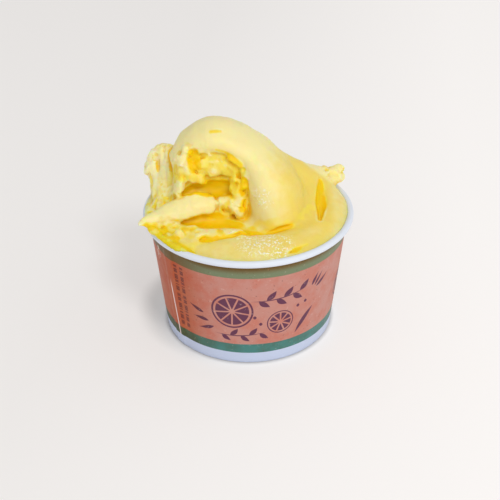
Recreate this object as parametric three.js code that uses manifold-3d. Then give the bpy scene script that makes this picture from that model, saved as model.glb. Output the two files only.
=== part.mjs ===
// A paper cup of sorbet, filled to the rim and piled above it in spatula strokes: a big wave that rolls
// over to the left, a curtain of pulled strands at its back left, and torn tongues that reach over the rim.
//
// Millimetres, +Z up, +Y to the back. The origin is the centre of the foot, on the surface it stands on.

import * as THREE from "three";
import { mergeVertices } from "three/addons/utils/BufferGeometryUtils.js";
import Module from "manifold-3d";

const wasm = await Module();
wasm.setup();

// ---------------------------------------------------------------- driving dimensions

const CUP_HEIGHT = 52.5;
const RIM_RADIUS = 42.5; // outside of the rolled rim
const ROLL_RADIUS = 1.35; // section of the rolled rim
const NECK_RADIUS = 40.2; // outside of the wall, under the roll
const FOOT_RADIUS = 35.0; // outside of the wall, at the table
const PAPER = 0.5; // one layer of coated paper
const GAP = 0.3; // clearance between two pieces that touch
const HEM_HEIGHT = 6.2; // the wall's inward fold at the foot
const BASE_LEVEL = 7.3; // top of the bottom disc
const SEAM_ANGLE = -142; // degrees, middle of the wall's glued overlap
const SEAM_WIDTH = 7.0;
const SEAM_LIFT = 0.35; // how far the overlap's second layer stands off the first
const AROUND = 64; // facets round the cup

const ROLL_HEIGHT = CUP_HEIGHT - ROLL_RADIUS;
const ROLL_CENTRE = RIM_RADIUS - ROLL_RADIUS;
const SORBET_BOTTOM = BASE_LEVEL + GAP;

const GRID = 2.1; // cell of the grid on which the pile is meshed
const PILE_FLOOR = -9; // the pile is meshed from here up, and is a plain cone below
const PILE_TOP = 44; // no part of the pile reaches this height above the rim

const radians = (degrees) => (degrees * Math.PI) / 180;

// Outside radius of the conical wall at a height above the table.
const wallRadius = (z) => FOOT_RADIUS + ((NECK_RADIUS - FOOT_RADIUS) * z) / ROLL_HEIGHT;

// ---------------------------------------------------------------- joining and cutting

function toSolid(geometry) {
  const bare = geometry.clone();
  bare.deleteAttribute("normal");
  bare.deleteAttribute("uv");
  const merged = mergeVertices(bare, 1e-4);
  return new wasm.Manifold(
    new wasm.Mesh({
      numProp: 3,
      vertProperties: new Float32Array(merged.attributes.position.array),
      triVerts: new Uint32Array(merged.index.array),
    }),
  );
}

function toGeometry(solid) {
  const mesh = solid.getMesh();
  const geometry = new THREE.BufferGeometry();
  geometry.setAttribute("position", new THREE.BufferAttribute(mesh.vertProperties, 3));
  geometry.setIndex(new THREE.BufferAttribute(mesh.triVerts, 1));
  geometry.computeVertexNormals();
  return geometry;
}

// Turns an outline of [radius, height] points about the cup's axis. It starts and ends on the axis, or
// runs round a ring and is closed here.
function turned(outline) {
  const points = outline.map(([radius, height]) => new THREE.Vector2(radius, height));
  if (THREE.ShapeUtils.area(points) < 0) points.reverse();
  if (points[0].x > 0) points.push(points[0].clone());
  const geometry = new THREE.LatheGeometry(points, AROUND);
  geometry.rotateX(Math.PI / 2);
  return toSolid(geometry);
}

// Points on the roll's round section, grown by a clearance, between two angles in degrees.
function rollArc(grown, from, to, steps) {
  return Array.from({ length: steps + 1 }, (_, i) => {
    const angle = radians(from + ((to - from) * i) / steps);
    const reach = ROLL_RADIUS + grown;
    return [ROLL_CENTRE + reach * Math.cos(angle), ROLL_HEIGHT + reach * Math.sin(angle)];
  });
}

// ---------------------------------------------------------------- the cup

// The side wall: one layer of paper, rolled outward at the rim and folded in and up at the foot, round the
// skirt of the bottom disc. The two folds leave room for the skirt and a clearance on each side of it.
function cupWall() {
  const hemOuter = 2 * PAPER + 2 * GAP;
  const inward = (depth, z) => [wallRadius(z) - depth, z];
  const outline = [
    inward(PAPER, PAPER + GAP),
    ...rollArc(0, 180, -135, 14),
    inward(0, ROLL_HEIGHT - 1.6),
    inward(0, 0.5),
    inward(0.15, 0.12),
    inward(0.5, 0),
    inward(hemOuter + 0.2, 0),
    inward(hemOuter + PAPER, 0.3),
    inward(hemOuter + PAPER, HEM_HEIGHT),
    inward(hemOuter, HEM_HEIGHT),
    inward(hemOuter, PAPER + GAP),
  ];
  return turned(outline).add(seamStrip());
}

// The glued overlap of the wall: a second layer of paper on the outside, from the foot to the roll.
function seamStrip() {
  const half = SEAM_WIDTH / (FOOT_RADIUS + NECK_RADIUS);
  const bottom = 0.6;
  const top = ROLL_HEIGHT - 0.4;
  const columns = 5;
  const ring = [];
  for (let i = 0; i < columns; i += 1) {
    const angle = radians(SEAM_ANGLE) + half * ((2 * i) / (columns - 1) - 1);
    for (const [z, lift] of [[bottom, -0.2], [bottom, SEAM_LIFT], [top, SEAM_LIFT], [top, -0.2]]) {
      const radius = wallRadius(z) + lift;
      ring.push(radius * Math.cos(angle), radius * Math.sin(angle), z);
    }
  }
  const index = [];
  for (let i = 0; i < columns - 1; i += 1) {
    for (let j = 0; j < 4; j += 1) {
      const a = 4 * i + j;
      const b = 4 * i + ((j + 1) % 4);
      index.push(a, a + 4, b, b, a + 4, b + 4);
    }
  }
  const last = 4 * (columns - 1);
  index.push(0, 1, 2, 0, 2, 3, last, last + 2, last + 1, last, last + 3, last + 2);
  const strip = new THREE.BufferGeometry();
  strip.setAttribute("position", new THREE.Float32BufferAttribute(ring, 3));
  strip.setIndex(index);
  return toSolid(strip);
}

// The bottom: a pressed disc, held above the table, with a skirt that hangs between the folds of the wall.
function cupBase() {
  const outer = PAPER + GAP;
  const inner = outer + PAPER;
  const skirtBottom = PAPER + 2 * GAP;
  const discBottom = BASE_LEVEL - PAPER;
  return turned([
    [0, discBottom],
    [wallRadius(discBottom) - inner, discBottom],
    [wallRadius(skirtBottom) - inner, skirtBottom],
    [wallRadius(skirtBottom) - outer, skirtBottom],
    [wallRadius(BASE_LEVEL) - outer, BASE_LEVEL],
    [0, BASE_LEVEL],
  ]);
}

// ---------------------------------------------------------------- sorbet: the field

// The sorbet is described by one number at every point: negative inside it, positive outside, and about
// the distance to its surface in between. Points are [x, y, h], with h the height above the rim's plane.

// Joins two bodies with a fillet, and takes the second out of the first with a soft edge.
function join(a, b, fillet) {
  const near = Math.max(fillet - Math.abs(a - b), 0) / fillet;
  return Math.min(a, b) - near * near * fillet * 0.25;
}
const takeOut = (a, b, fillet) => -join(-a, b, fillet);

// Random numbers from -1 to 1 fixed to the corners of a cubic lattice, by an integer hash.
function corner(i, j, k) {
  let hash = Math.imul(i, 374761393) ^ Math.imul(j, 668265263) ^ Math.imul(k, 2246822519);
  hash = Math.imul(hash ^ (hash >>> 13), 1274126177);
  return ((hash ^ (hash >>> 16)) >>> 0) / 2147483648 - 1;
}

// Lumps: the lattice's numbers, smoothed between its corners. One lump measures about `size`.
function lumps(point, size) {
  const scaled = point.map((value) => value / size + 100);
  const cell = scaled.map(Math.floor);
  const ease = scaled.map((value, axis) => {
    const t = value - cell[axis];
    return t * t * (3 - 2 * t);
  });
  let sum = 0;
  for (let n = 0; n < 8; n += 1) {
    const step = [n & 1, (n >> 1) & 1, n >> 2];
    const weight = step.reduce((product, s, axis) => product * (s ? ease[axis] : 1 - ease[axis]), 1);
    sum += weight * corner(cell[0] + step[0], cell[1] + step[1], cell[2] + step[2]);
  }
  return sum;
}

// Beyond this distance of a stroke only its box is measured, as nothing is filleted so widely.
const FAR = 8;

// A spatula stroke: an oval section carried along a smooth curve through a few stations, each
// [x, y, h, half width, half thickness]. The width lies along `across`. `torn` is how ragged its skin is
// and the size of the lumps.
function stroke(stations, { across = [0, 1, 0], torn = 0, lump = 6, steps = 4 } = {}) {
  const route = new THREE.CatmullRomCurve3(stations.map(([x, y, h]) => new THREE.Vector3(x, y, h)));
  const sizes = new THREE.CatmullRomCurve3(stations.map(([, , , w, t]) => new THREE.Vector3(w, t, 0)));
  route.curveType = "catmullrom";
  sizes.curveType = "catmullrom";
  const count = (stations.length - 1) * steps;
  const centres = Array.from({ length: count + 1 }, (_, i) => route.getPoint(i / count));
  const halves = Array.from({ length: count + 1 }, (_, i) => sizes.getPoint(i / count));
  const wide = new THREE.Vector3(...across).normalize();
  const reach = Math.max(...stations.map(([, , , w, t]) => Math.max(w, t))) + FAR;
  const box = new THREE.Box3().setFromPoints(centres).expandByScalar(reach);
  const along = new THREE.Vector3();
  const offset = new THREE.Vector3();
  const at = new THREE.Vector3();

  return (point) => {
    at.set(...point);
    if (!box.containsPoint(at)) return box.distanceToPoint(at) + FAR;
    let nearest = Infinity;
    for (let i = 0; i < count; i += 1) {
      along.subVectors(centres[i + 1], centres[i]);
      offset.subVectors(at, centres[i]);
      const t = THREE.MathUtils.clamp(offset.dot(along) / along.lengthSq(), 0, 1);
      offset.addScaledVector(along, -t);
      const width = THREE.MathUtils.lerp(halves[i].x, halves[i + 1].x, t);
      const depth = THREE.MathUtils.lerp(halves[i].y, halves[i + 1].y, t);
      const sideways = offset.dot(wide);
      const rest = Math.max(offset.lengthSq() - sideways * sideways, 0);
      const scaled = Math.sqrt((sideways / width) ** 2 + rest / depth ** 2);
      const slope = Math.sqrt((sideways / width ** 2) ** 2 + rest / depth ** 4);
      const distance = slope > 1e-9 ? (scaled * (scaled - 1)) / slope : -Math.min(width, depth);
      nearest = Math.min(nearest, distance);
    }
    return nearest + (torn ? torn * lumps(point, lump) : 0);
  };
}

// A value that changes round the cup: straight between the given [degrees, value] marks.
function roundTheCup(degrees, marks) {
  const after = marks.findIndex(([mark]) => mark >= degrees);
  if (after <= 0) return marks[Math.max(after, 0)][1];
  const [fromMark, from] = marks[after - 1];
  const [toMark, to] = marks[after];
  return THREE.MathUtils.mapLinear(degrees, fromMark, toMark, from, to);
}

// ---------------------------------------------------------------- sorbet: its forms

// What fills the cup: a top that is nearly level with the rim, with a low crown in the middle and a band
// pressed up along the wall by the last turn of the spatula.
const LEVEL = [
  [-180, -1], [-150, -1.8], [-125, -1.6], [-105, -1.2], [60, -1], [120, -1.6], [160, -1], [180, -1],
];
const CROWN_HEIGHT = 1.8;
const CROWN_RADIUS = 29;
const BAND_CENTRE = [[-180, 30], [-110, 30.5], [-45, 31], [0, 33], [80, 30], [180, 30]];
const BAND_WIDTH = [[-180, 7], [-80, 9.5], [-45, 8], [0, 6], [180, 7]];
const BAND_HEIGHT = [
  [-180, -4.6], [-150, -5.2], [-120, -4.2], [-80, -3.1], [20, -3.3], [90, -4], [180, -4.6],
];
const BAND_DEPTH = 5.2;
const BAND_FILLET = 2.5;

function filling([x, y, h]) {
  const radius = Math.hypot(x, y);
  const degrees = THREE.MathUtils.radToDeg(Math.atan2(y, x));
  const crown = CROWN_HEIGHT * Math.exp(-((radius / CROWN_RADIUS) ** 4));
  const level = h - roundTheCup(degrees, LEVEL) - crown;
  const offset = radius - roundTheCup(degrees, BAND_CENTRE);
  const lift = h - roundTheCup(degrees, BAND_HEIGHT);
  const width = roundTheCup(degrees, BAND_WIDTH);
  const scaled = Math.hypot(offset / width, lift / BAND_DEPTH);
  const slope = Math.hypot(offset / width ** 2, lift / BAND_DEPTH ** 2);
  const band = (scaled * (scaled - 1)) / Math.max(slope, 1e-6);
  return Math.max(join(level, band, BAND_FILLET), radius - RIM_RADIUS);
}

// A step of the making: a stroke laid on with a fillet, or a hollow scooped out with a soft edge.
function laid(stations, fillet, options) {
  const form = stroke(stations, options);
  return (sum, point) => join(sum, form(point), fillet);
}
function scooped(stations, edge, options) {
  const form = stroke(stations, options);
  return (sum, point) => takeOut(sum, form(point), edge);
}

// The wave, from its foot at the right, over the top and down to the lip at the left.
const WAVE = [
  [9.5, -3, -9, 18, 12.4],
  [11.4, -3, 0, 18, 11.8],
  [10.6, -2, 8, 17, 11],
  [7.8, -0.5, 15.2, 15.4, 9.4],
  [4.4, 1, 21.2, 14, 7.5],
  [0.2, 2.5, 25.5, 12.6, 6.3],
  [-6.2, 3.3, 29.3, 11.4, 6],
  [-13, 3.5, 31, 10.8, 6.2],
  [-19, 3.5, 29.1, 9.4, 5.8],
  [-24, 3, 25.9, 7.4, 4.6],
  [-27.8, 2.5, 21.8, 5.5, 3],
];

// The curtain: strands pulled up where the spatula left, side by side from the back left rim to the lip.
// These are the places that they hang from and end at, each [x, y, h, half thickness].
const STRAND_TOPS = [
  [-39.8, 9, 14, 1.7], [-37.2, 10.5, 18.5, 2.1], [-33.6, 11.5, 20, 2.3], [-30.3, 9, 20, 2.3],
  [-26.5, 1, 23, 2.4],
];
const STRAND_FEET = [
  [-37.2, -2, -2, 1.6], [-36.4, -4.5, -0.5, 2], [-33, -6, 1, 2.2], [-29.5, -5.5, 3, 2.2],
  [-24.8, -3, 8, 2.3],
];
const STRANDS = 10;
const STRAND_BULGE = 9; // how far a strand's middle stands back, times four

// The numbers of a table's rows at a place between them, where 0 is its first row and 1 its last.
function between(rows, place) {
  const row = place * (rows.length - 1);
  const before = Math.min(Math.floor(row), rows.length - 2);
  const mix = (value, column) => THREE.MathUtils.lerp(value, rows[before + 1][column], row - before);
  return rows[before].map(mix);
}

function curtain() {
  const strands = Array.from({ length: STRANDS }, (_, n) => {
    const ends = [between(STRAND_TOPS, n / (STRANDS - 1)), between(STRAND_FEET, n / (STRANDS - 1))];
    return stroke([0, 0.35, 0.7, 1].map((t) => {
      const [x, y, h, thick] = between(ends, t);
      const arch = t * (1 - t);
      const half = thick * (0.85 + 0.2 * Math.cos(3.1 * n + 4 * t));
      return [x + 2 * arch, y + STRAND_BULGE * arch + 0.9 * Math.cos(2.6 * n), h, 1.5 * half, half];
    }));
  });
  return (sum, point) => {
    const hung = strands.reduce((nearest, strand) => join(nearest, strand(point), 0.7), 99);
    const [x, y, h] = point;
    return join(sum, hung + 0.6 * lumps([x, y, 0.18 * h], 2.8), 0.8);
  };
}

// Crumbs strewn along a line from start to end: short fat strokes of about a size, turned every way by
// random numbers that stay the same for each series.
function crumbs(start, end, spread, size, count, series) {
  return Array.from({ length: count }, (_, i) => {
    const chance = Array.from({ length: 8 }, (_, j) => corner(i, j, series));
    const place = between([start, end], i / (count - 1));
    const middle = place.map((value, axis) => value + chance[axis] * spread[axis]);
    const reach = [3, 4, 5].map((j) => 0.7 * size * chance[j]);
    const [width, depth] = [6, 7].map((j) => size * (1 + 0.35 * chance[j]));
    const from = middle.map((value, axis) => value - reach[axis]);
    const to = middle.map((value, axis) => value + reach[axis]);
    return laid([[...from, width, depth], [...to, depth, width]], 1.2, { steps: 1 });
  });
}

// Everything on the filling, in the order in which it was laid on, torn off and scooped out.
const steps = [
  // The back slope, the wave on it, the shoulder at its back right, and the wall behind the curl's inside.
  laid([[-30, 14, 2, 7, 7], [-22, 16, 4, 8, 9], [-8, 19, 3, 9, 9], [8, 20, 0, 9, 8]], 5),
  laid(WAVE, 3.5),
  laid([[12, 8, 13.6, 7, 6], [18, 9.5, 11, 6, 5.2], [24.5, 13.5, 6.6, 5, 3.6]], 4),
  laid([[-28, 9, 7, 7, 8], [-20, 9, 13, 9, 9], [-12, 9, 14, 10, 11], [-2, 9, 12, 10, 11]], 2,
    { torn: 0.4, lump: 5 }),

  // The ridge from the wave's right foot to the front, the mass at the right, and the torn flake that
  // stands out over the back right rim.
  laid([[19, 12, 5, 8, 7], [24, 7, 3.2, 6, 5], [25, -3, 0.4, 5.4, 4.2], [24, -13, -2.4, 5.4, 4.2]], 4.5),
  laid([[26, 15, 2.6, 7, 5], [32.5, 9, -0.6, 6, 4.6], [34, -3, -2.2, 5, 4.2], [30, -14, -3.6, 5, 4]], 5),
  laid([[25, 14, 6, 4.6, 3], [31.2, 15.5, 5.2, 4.4, 2.3], [34.9, 16.8, 4.7, 4, 2.1],
    [37.2, 17.6, 4.3, 3.4, 2], [38.8, 18.2, 3.8, 2.4, 1.6]], 2.5,
    { across: [0, 1, 0.5], torn: 0.5, lump: 3 }),
  ...crumbs([29, 17.5, 7], [38.2, 20.2, 5.6], [0.8, 0.8, 0.5], 1.4, 7, 6),

  // What was pressed against the left wall, the curtain on it, three loose strands in front of the
  // curtain, and its frayed edge.
  laid([[-35.5, -13, -1.6, 2.6, 2], [-37.6, -5, -0.9, 2.6, 2.4], [-37.8, 3, -0.6, 2.6, 2.4],
    [-36, 10, -0.6, 3, 2.4]], 3),
  curtain(),
  ...[[-28.8, 0.5, 23.5, 18], [-27.6, -2.4, 24.5, 17.5], [-26.6, -4.4, 25, 15]].map(([x, y, h, drop]) =>
    laid([[x, y, h, 1.7, 1.3], [x + 0.7, y - 1.6, h - 0.5 * drop, 1.9, 1.3],
      [x - 0.8, y - 2.6, h - drop, 2.2, 1.8]], 1.2, { torn: 0.6, lump: 2.6 })),
  ...crumbs([-40, 8.5, 10], [-38.6, 10, 16.4], [0.5, 0.8, 1], 1.4, 5, 7),
  ...crumbs([-38.2, 10.5, 18], [-31, 10, 21], [0.8, 0.8, 0.6], 1.4, 6, 8),

  // The torn inside of the curl: a roll under the lip, the side of the wave's foot, and what fills the
  // cave.
  laid([[-23, 0, 21.5, 5.5, 5], [-14, 0, 23, 6.5, 5.5], [-5, 0, 21, 6.5, 5.5], [-2, -1, 15, 6, 5]], 1,
    { torn: 0.6, lump: 4 }),
  laid([[-3.4, -1, 16, 6, 5], [-2.5, -3.5, 11, 6, 4.4], [-3, -6, 5, 5.5, 4]], 1, { torn: 0.7, lump: 3.5 }),
  scooped([[-20.4, -7.5, 27, 3.2, 1.8], [-20.4, -7.5, 22, 3.4, 2.2]], 1.6, { torn: 0.7, lump: 3 }),
  laid([[-24, -0.5, 10.5, 4.5, 6], [-14, 0, 12, 5, 6.5], [-6, -0.5, 11, 5, 6]], 1),
  laid([[-11, -1, 6, 6, 4], [-5, -2, 6, 6.4, 4]], 1.5),
  laid([[-33, -10, 0, 4, 2.6], [-24, -6.5, 1.2, 6, 4], [-14, -3.5, 1.6, 7.2, 4],
    [-8, -3, 1, 6.5, 3.4]], 1.5),
  scooped([[-25.5, -6.4, 8.4, 1.6, 1], [-21, -6.6, 10.6, 2.2, 1.9], [-14, -6.8, 12.4, 2.6, 2.8],
    [-7.4, -6.8, 12, 2.4, 2.3]], 1.2, { torn: 0.5, lump: 4 }),

  // Torn pieces on that inside: along the lip, under the roll, and at the mouth of the cave.
  laid([[-24.2, -5, 29, 1.6, 1.3], [-24.8, -5.6, 24, 1.5, 1.3], [-24.2, -5.6, 19.5, 1.7, 1.5],
    [-21.5, -5.2, 16.5, 1.9, 1.6]], 1.8),
  laid([[-9, -4.6, 20.8, 2.8, 3], [-4.9, -4.8, 20.6, 2.6, 2.8]], 2, { torn: 0.6, lump: 2.8 }),
  laid([[-17, -4.8, 20.6, 2.2, 2.6], [-13.4, -4.6, 19, 2.2, 2]], 2, { torn: 0.7, lump: 2.8 }),
  laid([[-22, -4.6, 16.8, 2.4, 2], [-18.6, -4.6, 15.8, 2.4, 2.4]], 2, { torn: 0.7, lump: 2.8 }),
  laid([[-4.8, -7.2, 15.4, 1.8, 2], [-5, -8, 10.8, 2, 2]], 1.6),
  laid([[-10, -8, 6.2, 2.4, 2.6], [-6, -9, 6.8, 2.8, 3], [-4.4, -9.6, 5, 2.6, 2.6]], 1.6,
    { torn: 0.7, lump: 2.8 }),

  // The smooth tongue, drawn out to a tip over the left rim, and the low leaf under it.
  laid([[-14.6, -8, 7.4, 4.8, 2.2], [-18.5, -8.5, 7.8, 6.4, 2.7], [-23, -9.8, 6.9, 6.2, 2.7],
    [-28, -11.7, 5.5, 5.2, 2.4], [-33, -13.5, 4.1, 4.1, 2.1], [-37.6, -15.3, 3.2, 2.9, 1.8],
    [-40.8, -16.8, 2.8, 2, 1.4]], 1.2, { across: [0.1, 1, 0.95], torn: 0.45, lump: 4 }),
  laid([[-20, -22, -0.6, 3, 1.8], [-14, -22, 0.2, 4, 2.4], [-7, -21.8, 0.6, 3.4, 2.3],
    [-1, -22.2, 0.9, 1.2, 1.2]], 2, { torn: 0.4, lump: 3.5 }),

  // The torn mass at the front left.
  laid([[-32.5, -15.5, -2, 3, 2.4], [-27, -19, -1.4, 5, 2.8], [-19, -23, -1.2, 5, 2.8]], 2,
    { torn: 0.9, lump: 4 }),
  ...crumbs([-31, -16.5, -0.9], [-20, -24, -0.6], [1.5, 2.2, 0.5], 2, 7, 4),
  ...crumbs([-29, -16.5, -0.2], [-19, -19.5, 0], [1.5, 1, 0.4], 1.7, 4, 5),

  // Hollows: the groove at the right, the cave under the tongue, and the dip along the wall at the left.
  scooped([[29.9, 9, 6.6, 0.9, 0.8], [29.7, 5, 5.4, 1.5, 1.4], [29.4, 0, 4.2, 1.8, 1.8],
    [29.1, -5, 3.3, 1.9, 1.8], [28.6, -10, 2, 1.4, 1.3], [27.8, -16.5, 1.3, 0.6, 0.5]], 1),
  scooped([[-29, -14.4, 0.8, 2.6, 1.3], [-21, -13.6, 1, 3.2, 2.2], [-12, -13.2, 1.2, 3.6, 2.6],
    [-5.5, -14.6, 1, 2.6, 1.9], [-0.5, -17.4, 1.3, 1.4, 1], [3.5, -19.6, 1.7, 0.6, 0.4]], 0.8,
    { torn: 0.5, lump: 3 }),
  scooped([[-38, -9, -0.4, 1.4, 1.2], [-34, -18.5, -0.2, 2.2, 1.6], [-27.5, -26.5, -0.1, 2.2, 1.4],
    [-22.5, -31, 0, 1, 0.7]], 1.5),
];

const sorbetField = (point) => steps.reduce((sum, step) => step(sum, point), filling(point));

// ---------------------------------------------------------------- sorbet: the mesh

// Samples the field on a cubic grid that runs past the pile on every side.
function sampleGrid(field) {
  const low = [-RIM_RADIUS - 6, -RIM_RADIUS - 6, PILE_FLOOR - GRID];
  const high = [RIM_RADIUS + 6, RIM_RADIUS + 6, PILE_TOP];
  const size = low.map((value, axis) => Math.ceil((high[axis] - value) / GRID) + 1);
  const strides = [1, size[0], size[0] * size[1]];
  const place = (i, j, k) => [low[0] + i * GRID, low[1] + j * GRID, low[2] + k * GRID];
  const values = new Float64Array(size[0] * size[1] * size[2]);
  for (let k = 0; k < size[2]; k += 1) {
    for (let j = 0; j < size[1]; j += 1) {
      for (let i = 0; i < size[0]; i += 1) {
        const point = place(i, j, k);
        const floor = PILE_FLOOR - point[2];
        const value = Math.max(field(point), floor);
        values[i + j * strides[1] + k * strides[2]] = value === 0 ? 1e-6 : value;
      }
    }
  }
  return { low, size, strides, values };
}

// The eight corners of a cell, as offsets into the grid, and its twelve edges as pairs of corners.
const cellCorners = (strides) => Array.from({ length: 8 },
  (_, n) => (n & 1) * strides[0] + ((n >> 1) & 1) * strides[1] + (n >> 2) * strides[2]);
const cellEdges = [];
for (let a = 0; a < 8; a += 1) {
  for (const bit of [1, 2, 4]) {
    if (!(a & bit)) cellEdges.push([a, a | bit]);
  }
}

// Whether the corners marked in an 8-bit set hang together along the cell's edges.
function connected(set) {
  let reached = set & -set;
  for (let round = 0; round < 4; round += 1) {
    for (const [a, b] of cellEdges) {
      const both = (1 << a) | (1 << b);
      if ((both & set) === both && reached & both) reached |= both;
    }
  }
  return reached === set;
}
const simpleCell = Array.from({ length: 256 }, (_, set) => connected(set) && connected(255 - set));

// Where two skins would share a cell, the nearest outside corner is filled, so that the surface stays a
// single clean skin everywhere.
function mendCells({ size, strides, values }) {
  const corners = cellCorners(strides);
  for (let round = 0; round < 20; round += 1) {
    let mended = 0;
    for (let k = 0; k < size[2] - 1; k += 1) {
      for (let j = 0; j < size[1] - 1; j += 1) {
        for (let i = 0; i < size[0] - 1; i += 1) {
          const base = i + j * strides[1] + k * strides[2];
          const set = corners.reduce((sum, offset, n) => sum | ((values[base + offset] < 0) << n), 0);
          if (simpleCell[set]) continue;
          const outside = corners.filter((offset) => values[base + offset] > 0);
          outside.sort((a, b) => values[base + a] - values[base + b]);
          values[base + outside[0]] = -0.05;
          mended += 1;
        }
      }
    }
    if (!mended) return;
  }
}

// Keeps the one body that holds the cup's middle, and fills any bubble sealed inside it.
function keepOneBody({ size, strides, values }) {
  const flood = (start, inside) => {
    const seen = new Uint8Array(values.length);
    const queue = [start];
    seen[start] = 1;
    while (queue.length) {
      const node = queue.pop();
      const layer = Math.floor(node / strides[2]);
      const index = [node % size[0], Math.floor(node / strides[1]) % size[1], layer];
      for (let axis = 0; axis < 3; axis += 1) {
        for (const step of [-1, 1]) {
          const next = node + step * strides[axis];
          const within = index[axis] + step >= 0 && index[axis] + step < size[axis];
          if (within && !seen[next] && values[next] < 0 === inside) {
            seen[next] = 1;
            queue.push(next);
          }
        }
      }
    }
    return seen;
  };
  const middle = Math.floor(size[0] / 2) + Math.floor(size[1] / 2) * strides[1] + 3 * strides[2];
  const body = flood(middle, true);
  values.forEach((value, n) => {
    if (value < 0 && !body[n]) values[n] = 0.05;
  });
  const air = flood(0, false);
  values.forEach((value, n) => {
    if (value > 0 && !air[n]) values[n] = -0.05;
  });
}

// One vertex in each cell that the surface crosses, at the middle of its crossings, and one quad across
// each grid edge that changes sign.
function skin({ low, size, strides, values }) {
  const corners = cellCorners(strides);
  const vertexOf = new Int32Array(values.length).fill(-1);
  const positions = [];
  for (let k = 0; k < size[2] - 1; k += 1) {
    for (let j = 0; j < size[1] - 1; j += 1) {
      for (let i = 0; i < size[0] - 1; i += 1) {
        const base = i + j * strides[1] + k * strides[2];
        const sum = [0, 0, 0];
        let crossings = 0;
        for (const [a, b] of cellEdges) {
          const from = values[base + corners[a]];
          const to = values[base + corners[b]];
          if (from < 0 === to < 0) continue;
          const t = from / (from - to);
          for (let axis = 0; axis < 3; axis += 1) {
            const start = (a >> axis) & 1;
            const end = (b >> axis) & 1;
            sum[axis] += start + t * (end - start);
          }
          crossings += 1;
        }
        if (!crossings) continue;
        vertexOf[base] = positions.length / 3;
        const index = [i, j, k];
        sum.forEach((value, axis) => positions.push(low[axis] + GRID * (index[axis] + value / crossings)));
      }
    }
  }
  const triangles = [];
  const offset = (a, b) => [0, 1, 2].map((n) => positions[3 * a + n] - positions[3 * b + n]);
  const gap = (a, b) => Math.hypot(...offset(a, b));
  for (let node = strides[2]; node < values.length - strides[2]; node += 1) {
    for (let axis = 0; axis < 3; axis += 1) {
      const inside = values[node] < 0;
      if (inside === values[node + strides[axis]] < 0) continue;
      const one = strides[(axis + 1) % 3];
      const two = strides[(axis + 2) % 3];
      const quad = [node - one - two, node - two, node, node - one].map((cell) => vertexOf[cell]);
      if (!inside) quad.reverse();
      const [a, b, c, d] = quad;
      if (gap(a, c) < gap(b, d)) triangles.push(a, b, c, a, c, d);
      else triangles.push(b, c, d, b, d, a);
    }
  }
  const geometry = new THREE.BufferGeometry();
  geometry.setAttribute("position", new THREE.Float32BufferAttribute(positions, 3));
  geometry.setIndex(triangles);
  return geometry;
}

// The whole sorbet: the pile on the plain cone that fills the cup, less the cup and its clearance.
function sorbet() {
  const grid = sampleGrid(sorbetField);
  keepOneBody(grid);
  mendCells(grid);
  const pile = skin(grid);
  pile.translate(0, 0, CUP_HEIGHT);
  const coneTop = CUP_HEIGHT + PILE_FLOOR + 3;
  const cone = turned([
    [0, SORBET_BOTTOM], [RIM_RADIUS, SORBET_BOTTOM], [RIM_RADIUS, coneTop], [0, coneTop],
  ]);
  const away = RIM_RADIUS + 12;
  const inner = (z) => [wallRadius(z) - PAPER - GAP, z];
  const cup = turned([
    inner(-5),
    [away, -5],
    [away, ROLL_HEIGHT - 8],
    [RIM_RADIUS + GAP, ROLL_HEIGHT - 8],
    ...rollArc(GAP, 0, 180, 8),
  ]);
  return toSolid(pile).add(cone).subtract(cup);
}

// ---------------------------------------------------------------- the scene

const paper = { roughness: 0.6, metalness: 0 };
const materials = {
  wall: new THREE.MeshStandardMaterial({ color: 0xcc9c94, ...paper }),
  base: new THREE.MeshStandardMaterial({ color: 0xe8edf5, ...paper }),
  sorbet: new THREE.MeshStandardMaterial({ color: 0xf3da78, roughness: 0.4, metalness: 0 }),
};

function piece(name, solid, material) {
  const mesh = new THREE.Mesh(toGeometry(solid), material);
  mesh.name = name;
  return mesh;
}

const cup = new THREE.Group();
cup.add(piece("cup_wall", cupWall(), materials.wall));
cup.add(piece("cup_base", cupBase(), materials.base));
cup.add(piece("sorbet", sorbet(), materials.sorbet));

export default cup;
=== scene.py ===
import bpy
import numpy as np
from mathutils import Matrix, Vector


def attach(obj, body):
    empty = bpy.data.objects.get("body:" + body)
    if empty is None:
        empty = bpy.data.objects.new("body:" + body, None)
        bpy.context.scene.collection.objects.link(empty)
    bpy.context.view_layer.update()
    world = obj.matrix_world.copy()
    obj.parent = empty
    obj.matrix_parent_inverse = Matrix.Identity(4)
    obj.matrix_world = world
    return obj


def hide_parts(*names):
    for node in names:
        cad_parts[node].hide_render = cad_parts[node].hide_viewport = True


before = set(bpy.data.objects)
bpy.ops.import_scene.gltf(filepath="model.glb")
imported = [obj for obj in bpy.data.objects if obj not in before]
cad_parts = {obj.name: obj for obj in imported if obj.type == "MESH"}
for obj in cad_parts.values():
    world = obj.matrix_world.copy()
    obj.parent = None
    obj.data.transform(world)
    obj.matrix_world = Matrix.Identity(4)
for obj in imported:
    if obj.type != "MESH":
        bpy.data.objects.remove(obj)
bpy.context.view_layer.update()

scene = bpy.context.scene

# ------------------------------------------------------------------ camera
# The view of someone who stands at the counter and looks down at the cup from an arm's length, through a
# short telephoto lens that keeps the rim from bulging.

MM = 0.001
CUP_HEIGHT = 52.5
VIEW_DISTANCE = 400.0
VIEW_ELEVATION = np.radians(29.885)
VIEW_TURN = np.radians((57.589, 0.330, -0.317))
LENS_LENGTH = 70.99

camera_data = bpy.data.cameras.new("camera")
camera_data.sensor_width = 36.0
camera_data.lens = LENS_LENGTH
camera_data.clip_start = 0.01
camera = bpy.data.objects.new("camera", camera_data)
camera.location = (
    0.0,
    -VIEW_DISTANCE * np.cos(VIEW_ELEVATION) * MM,
    (CUP_HEIGHT + VIEW_DISTANCE * np.sin(VIEW_ELEVATION)) * MM,
)
camera.rotation_euler = VIEW_TURN
scene.collection.objects.link(camera)
scene.camera = camera
scene.view_settings.view_transform = "Standard"

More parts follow.
